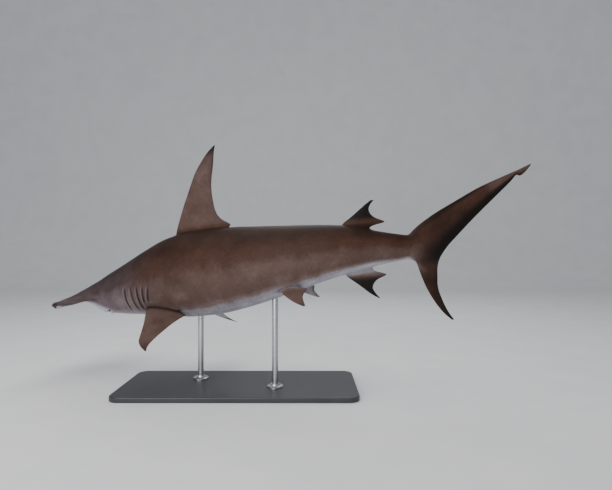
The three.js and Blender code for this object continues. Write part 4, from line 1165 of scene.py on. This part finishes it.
class SharkShape(bpy.types.PropertyGroup):
    """Sizes of the skin's fine forms"""
    gill_depth: FloatProperty(
        name="Gill depth", description="How far a gill slit sinks in", default=0.012, **METRES)
    gill_flap: FloatProperty(
        name="Gill flap", description="How far the flap in front of a slit stands out",
        default=0.0042, **METRES)
    mouth_depth: FloatProperty(
        name="Mouth depth", description="How far the line of the mouth sinks in",
        default=0.011, **METRES)
    lip: FloatProperty(
        name="Lip", description="How far the lips stand out", default=0.0040, **METRES)
    eye_opening: FloatProperty(
        name="Eye opening", description="Angle from the eye's axis to the lids' edge",
        default=math.radians(46.0), subtype="ANGLE", unit="ROTATION")
    lid: FloatProperty(
        name="Lid", description="How far the lids stand out", default=0.0026, **METRES)


class SharkColours(bpy.types.PropertyGroup):
    """Colours of the animal"""
    back: FloatVectorProperty(
        name="Back", description="Along the back", default=linear("#2c1a12"), **COLOUR)
    flank: FloatVectorProperty(
        name="Flank", description="Half way down the flank", default=linear("#5b4841"), **COLOUR)
    belly: FloatVectorProperty(
        name="Belly", description="Under the belly", default=linear("#aeaeb9"), **COLOUR)
    head_back: FloatVectorProperty(
        name="Head's top", description="On top of the head", default=linear("#2e2423"), **COLOUR)
    head_flank: FloatVectorProperty(
        name="Head's side", description="On the side of the head", default=linear("#695c60"),
        **COLOUR)
    head_belly: FloatVectorProperty(
        name="Throat", description="Under the head", default=linear("#b9bac7"), **COLOUR)
    dusk: FloatVectorProperty(
        name="Fin tips", description="On the dark tips and rims of fins",
        default=linear("#0f0b09"), **COLOUR)
    iris: FloatVectorProperty(
        name="Iris", description="The iris at its lightest", default=linear("#2a2418"), **COLOUR)


class StudioLook(bpy.types.PropertyGroup):
    """Size of the floor and power of the lights"""
    floor_depth: FloatProperty(
        name="Floor depth", description="From the middle of the model to where the floor curves up",
        default=7.0, **METRES)
    key_power: FloatProperty(
        name="Key light", description="Power of the large light overhead", default=110.0, **WATTS)
    fill_power: FloatProperty(
        name="Fill light", description="Power of the soft light beside the camera",
        default=230.0, **WATTS)
    rear_power: FloatProperty(
        name="Rear light", description="Power of the soft light behind and above",
        default=110.0, **WATTS)


class OBJECT_OT_shark_skin(bpy.types.Operator):
    """Make the one skin that covers the shark"""
    bl_idname = "object.shark_skin"
    bl_label = "Make skin"

    def execute(self, context):
        points, straight, quads, values = skin_arrays(context.scene.shark_shape)
        skin = mesh_object("skin", posed(points), quads.tolist(), values, straight)
        skin.data.materials.append(skin_material(context.scene.shark_colours))
        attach(skin, "root")
        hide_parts(*FLESH_NODES)
        return {"FINISHED"}


class OBJECT_OT_shark_eyes(bpy.types.Operator):
    """Make the two eyeballs"""
    bl_idname = "object.shark_eyes"
    bl_label = "Make eyes"

    def execute(self, context):
        finish = eye_material(context.scene.shark_colours)
        for name, side in (("left", -1), ("right", 1)):
            points, faces, turns = eyeball_arrays(side)
            ball = mesh_object(f"eyeball_{name}", posed(points), faces, {"from_axis": turns})
            ball.data.materials.append(finish)
            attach(ball, "root")
            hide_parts(f"eye_{name}")
        return {"FINISHED"}


class OBJECT_OT_shark_stand(bpy.types.Operator):
    """Give the stand's pieces their finishes"""
    bl_idname = "object.shark_stand"
    bl_label = "Finish stand"

    def execute(self, context):
        steel, board = brushed_steel(), lacquered_board()
        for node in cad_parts:
            if node.startswith("stand_"):
                piece = bpy.data.objects[node]
                piece.data.materials.clear()
                piece.data.materials.append(board if node == "stand_base" else steel)
        return {"FINISHED"}


def sweep_arrays(depth):
    """The studio's floor and wall as one sheet: a profile that runs flat, turns up through a
    quarter circle at the depth and rises straight, carried across."""
    turn = np.linspace(0, np.pi / 2, 17)
    curve = SWEEP["curve"]
    profile = np.concatenate([
        [[SWEEP["near"], 0]],
        np.stack([depth + curve * np.sin(turn), curve - curve * np.cos(turn)], 1),
        [[depth + curve, SWEEP["wall"]]],
    ])
    x = np.linspace(-SWEEP["half_width"], SWEEP["half_width"], 3)
    grid = np.stack(np.broadcast_arrays(x[:, None], profile[None, :, 0], profile[None, :, 1]), -1)
    ids = np.arange(grid[..., 0].size).reshape(grid.shape[:2])
    quads = np.stack([ids[:-1, :-1], ids[1:, :-1], ids[1:, 1:], ids[:-1, 1:]], -1)
    return grid.reshape(-1, 3), quads.reshape(-1, 4).tolist()


class SCENE_OT_shark_studio(bpy.types.Operator):
    """Make the floor, the backdrop, the lights and the camera"""
    bl_idname = "scene.shark_studio"
    bl_label = "Make studio"

    def execute(self, context):
        look = context.scene.shark_studio
        sweep = mesh_object("studio_sweep", *sweep_arrays(look.floor_depth), closed=False)
        sweep.data.materials.append(sweep_material())

        world = bpy.data.worlds.new("studio_air")
        context.scene.world = world
        world.use_nodes = True
        air = world.node_tree.nodes["Background"].inputs
        air["Color"].default_value = linear("#e6e7ea")
        air["Strength"].default_value = 0.55

        # name, place, the point it is aimed at, size, power, tint
        lights = (
            ("key_overhead", (-0.6, -0.6, 4.8), (0.2, 0.2, 0.7), 4.0, look.key_power, "#fffaf2"),
            ("fill_front", (-1.8, -5.4, 1.7), (0.1, 0.0, 0.8), 3.4, look.fill_power, "#fdfbff"),
            ("fill_rear", (0.6, 3.6, 5.2), (0.2, 0.2, 0.7), 3.4, look.rear_power, "#fdfbff"),
        )
        for name, place, aim, size, power, tint in lights:
            data = bpy.data.lights.new(name, "AREA")
            data.size = size
            data.energy = power
            data.color = linear(tint)[:3]
            lamp = bpy.data.objects.new(name, data)
            lamp.location = place
            x, y, z = np.array(aim) - np.array(place)
            lamp.rotation_euler = (
                math.pi / 2 + math.atan2(z, math.hypot(x, y)), 0, math.atan2(y, x) - math.pi / 2)
            context.scene.collection.objects.link(lamp)

        data = bpy.data.cameras.new("photo_view")
        data.sensor_width = SENSOR
        data.lens = FOCAL / PICTURE_WIDTH * SENSOR
        camera = bpy.data.objects.new("photo_view", data)
        camera.location = CAMERA_AT
        camera.rotation_euler = (math.pi / 2, 0, 0)
        context.scene.collection.objects.link(camera)
        context.scene.camera = camera
        return {"FINISHED"}


class VIEW3D_PT_shark(bpy.types.Panel):
    """Lists the sizes, the colours and the operators"""
    bl_label = "Hammerhead shark"
    bl_idname = "VIEW3D_PT_shark"
    bl_space_type = "VIEW_3D"
    bl_region_type = "UI"
    bl_category = "Shark"

    def draw(self, context):
        for key in GROUPS:
            group = getattr(context.scene, key)
            box = self.layout.box()
            for name in group.__annotations__:
                box.prop(group, name)
        for operator in OPERATORS:
            self.layout.operator(operator.bl_idname)


GROUPS = {"shark_shape": SharkShape, "shark_colours": SharkColours, "shark_studio": StudioLook}
OPERATORS = (
    OBJECT_OT_shark_skin, OBJECT_OT_shark_eyes, OBJECT_OT_shark_stand, SCENE_OT_shark_studio)
CLASSES = (*GROUPS.values(), *OPERATORS, VIEW3D_PT_shark)


def register():
    """Registers the classes and hangs the groups on the scene."""
    for item in CLASSES:
        bpy.utils.register_class(item)
    for key, group in GROUPS.items():
        setattr(bpy.types.Scene, key, PointerProperty(type=group))


def unregister():
    """Takes back what register does."""
    for key in GROUPS:
        delattr(bpy.types.Scene, key)
    for item in reversed(CLASSES):
        bpy.utils.unregister_class(item)


def main():
    """Makes everything in order."""
    register()
    bpy.ops.object.shark_skin()
    bpy.ops.object.shark_eyes()
    bpy.ops.object.shark_stand()
    bpy.ops.scene.shark_studio()


if __name__ == "__main__":
    main()
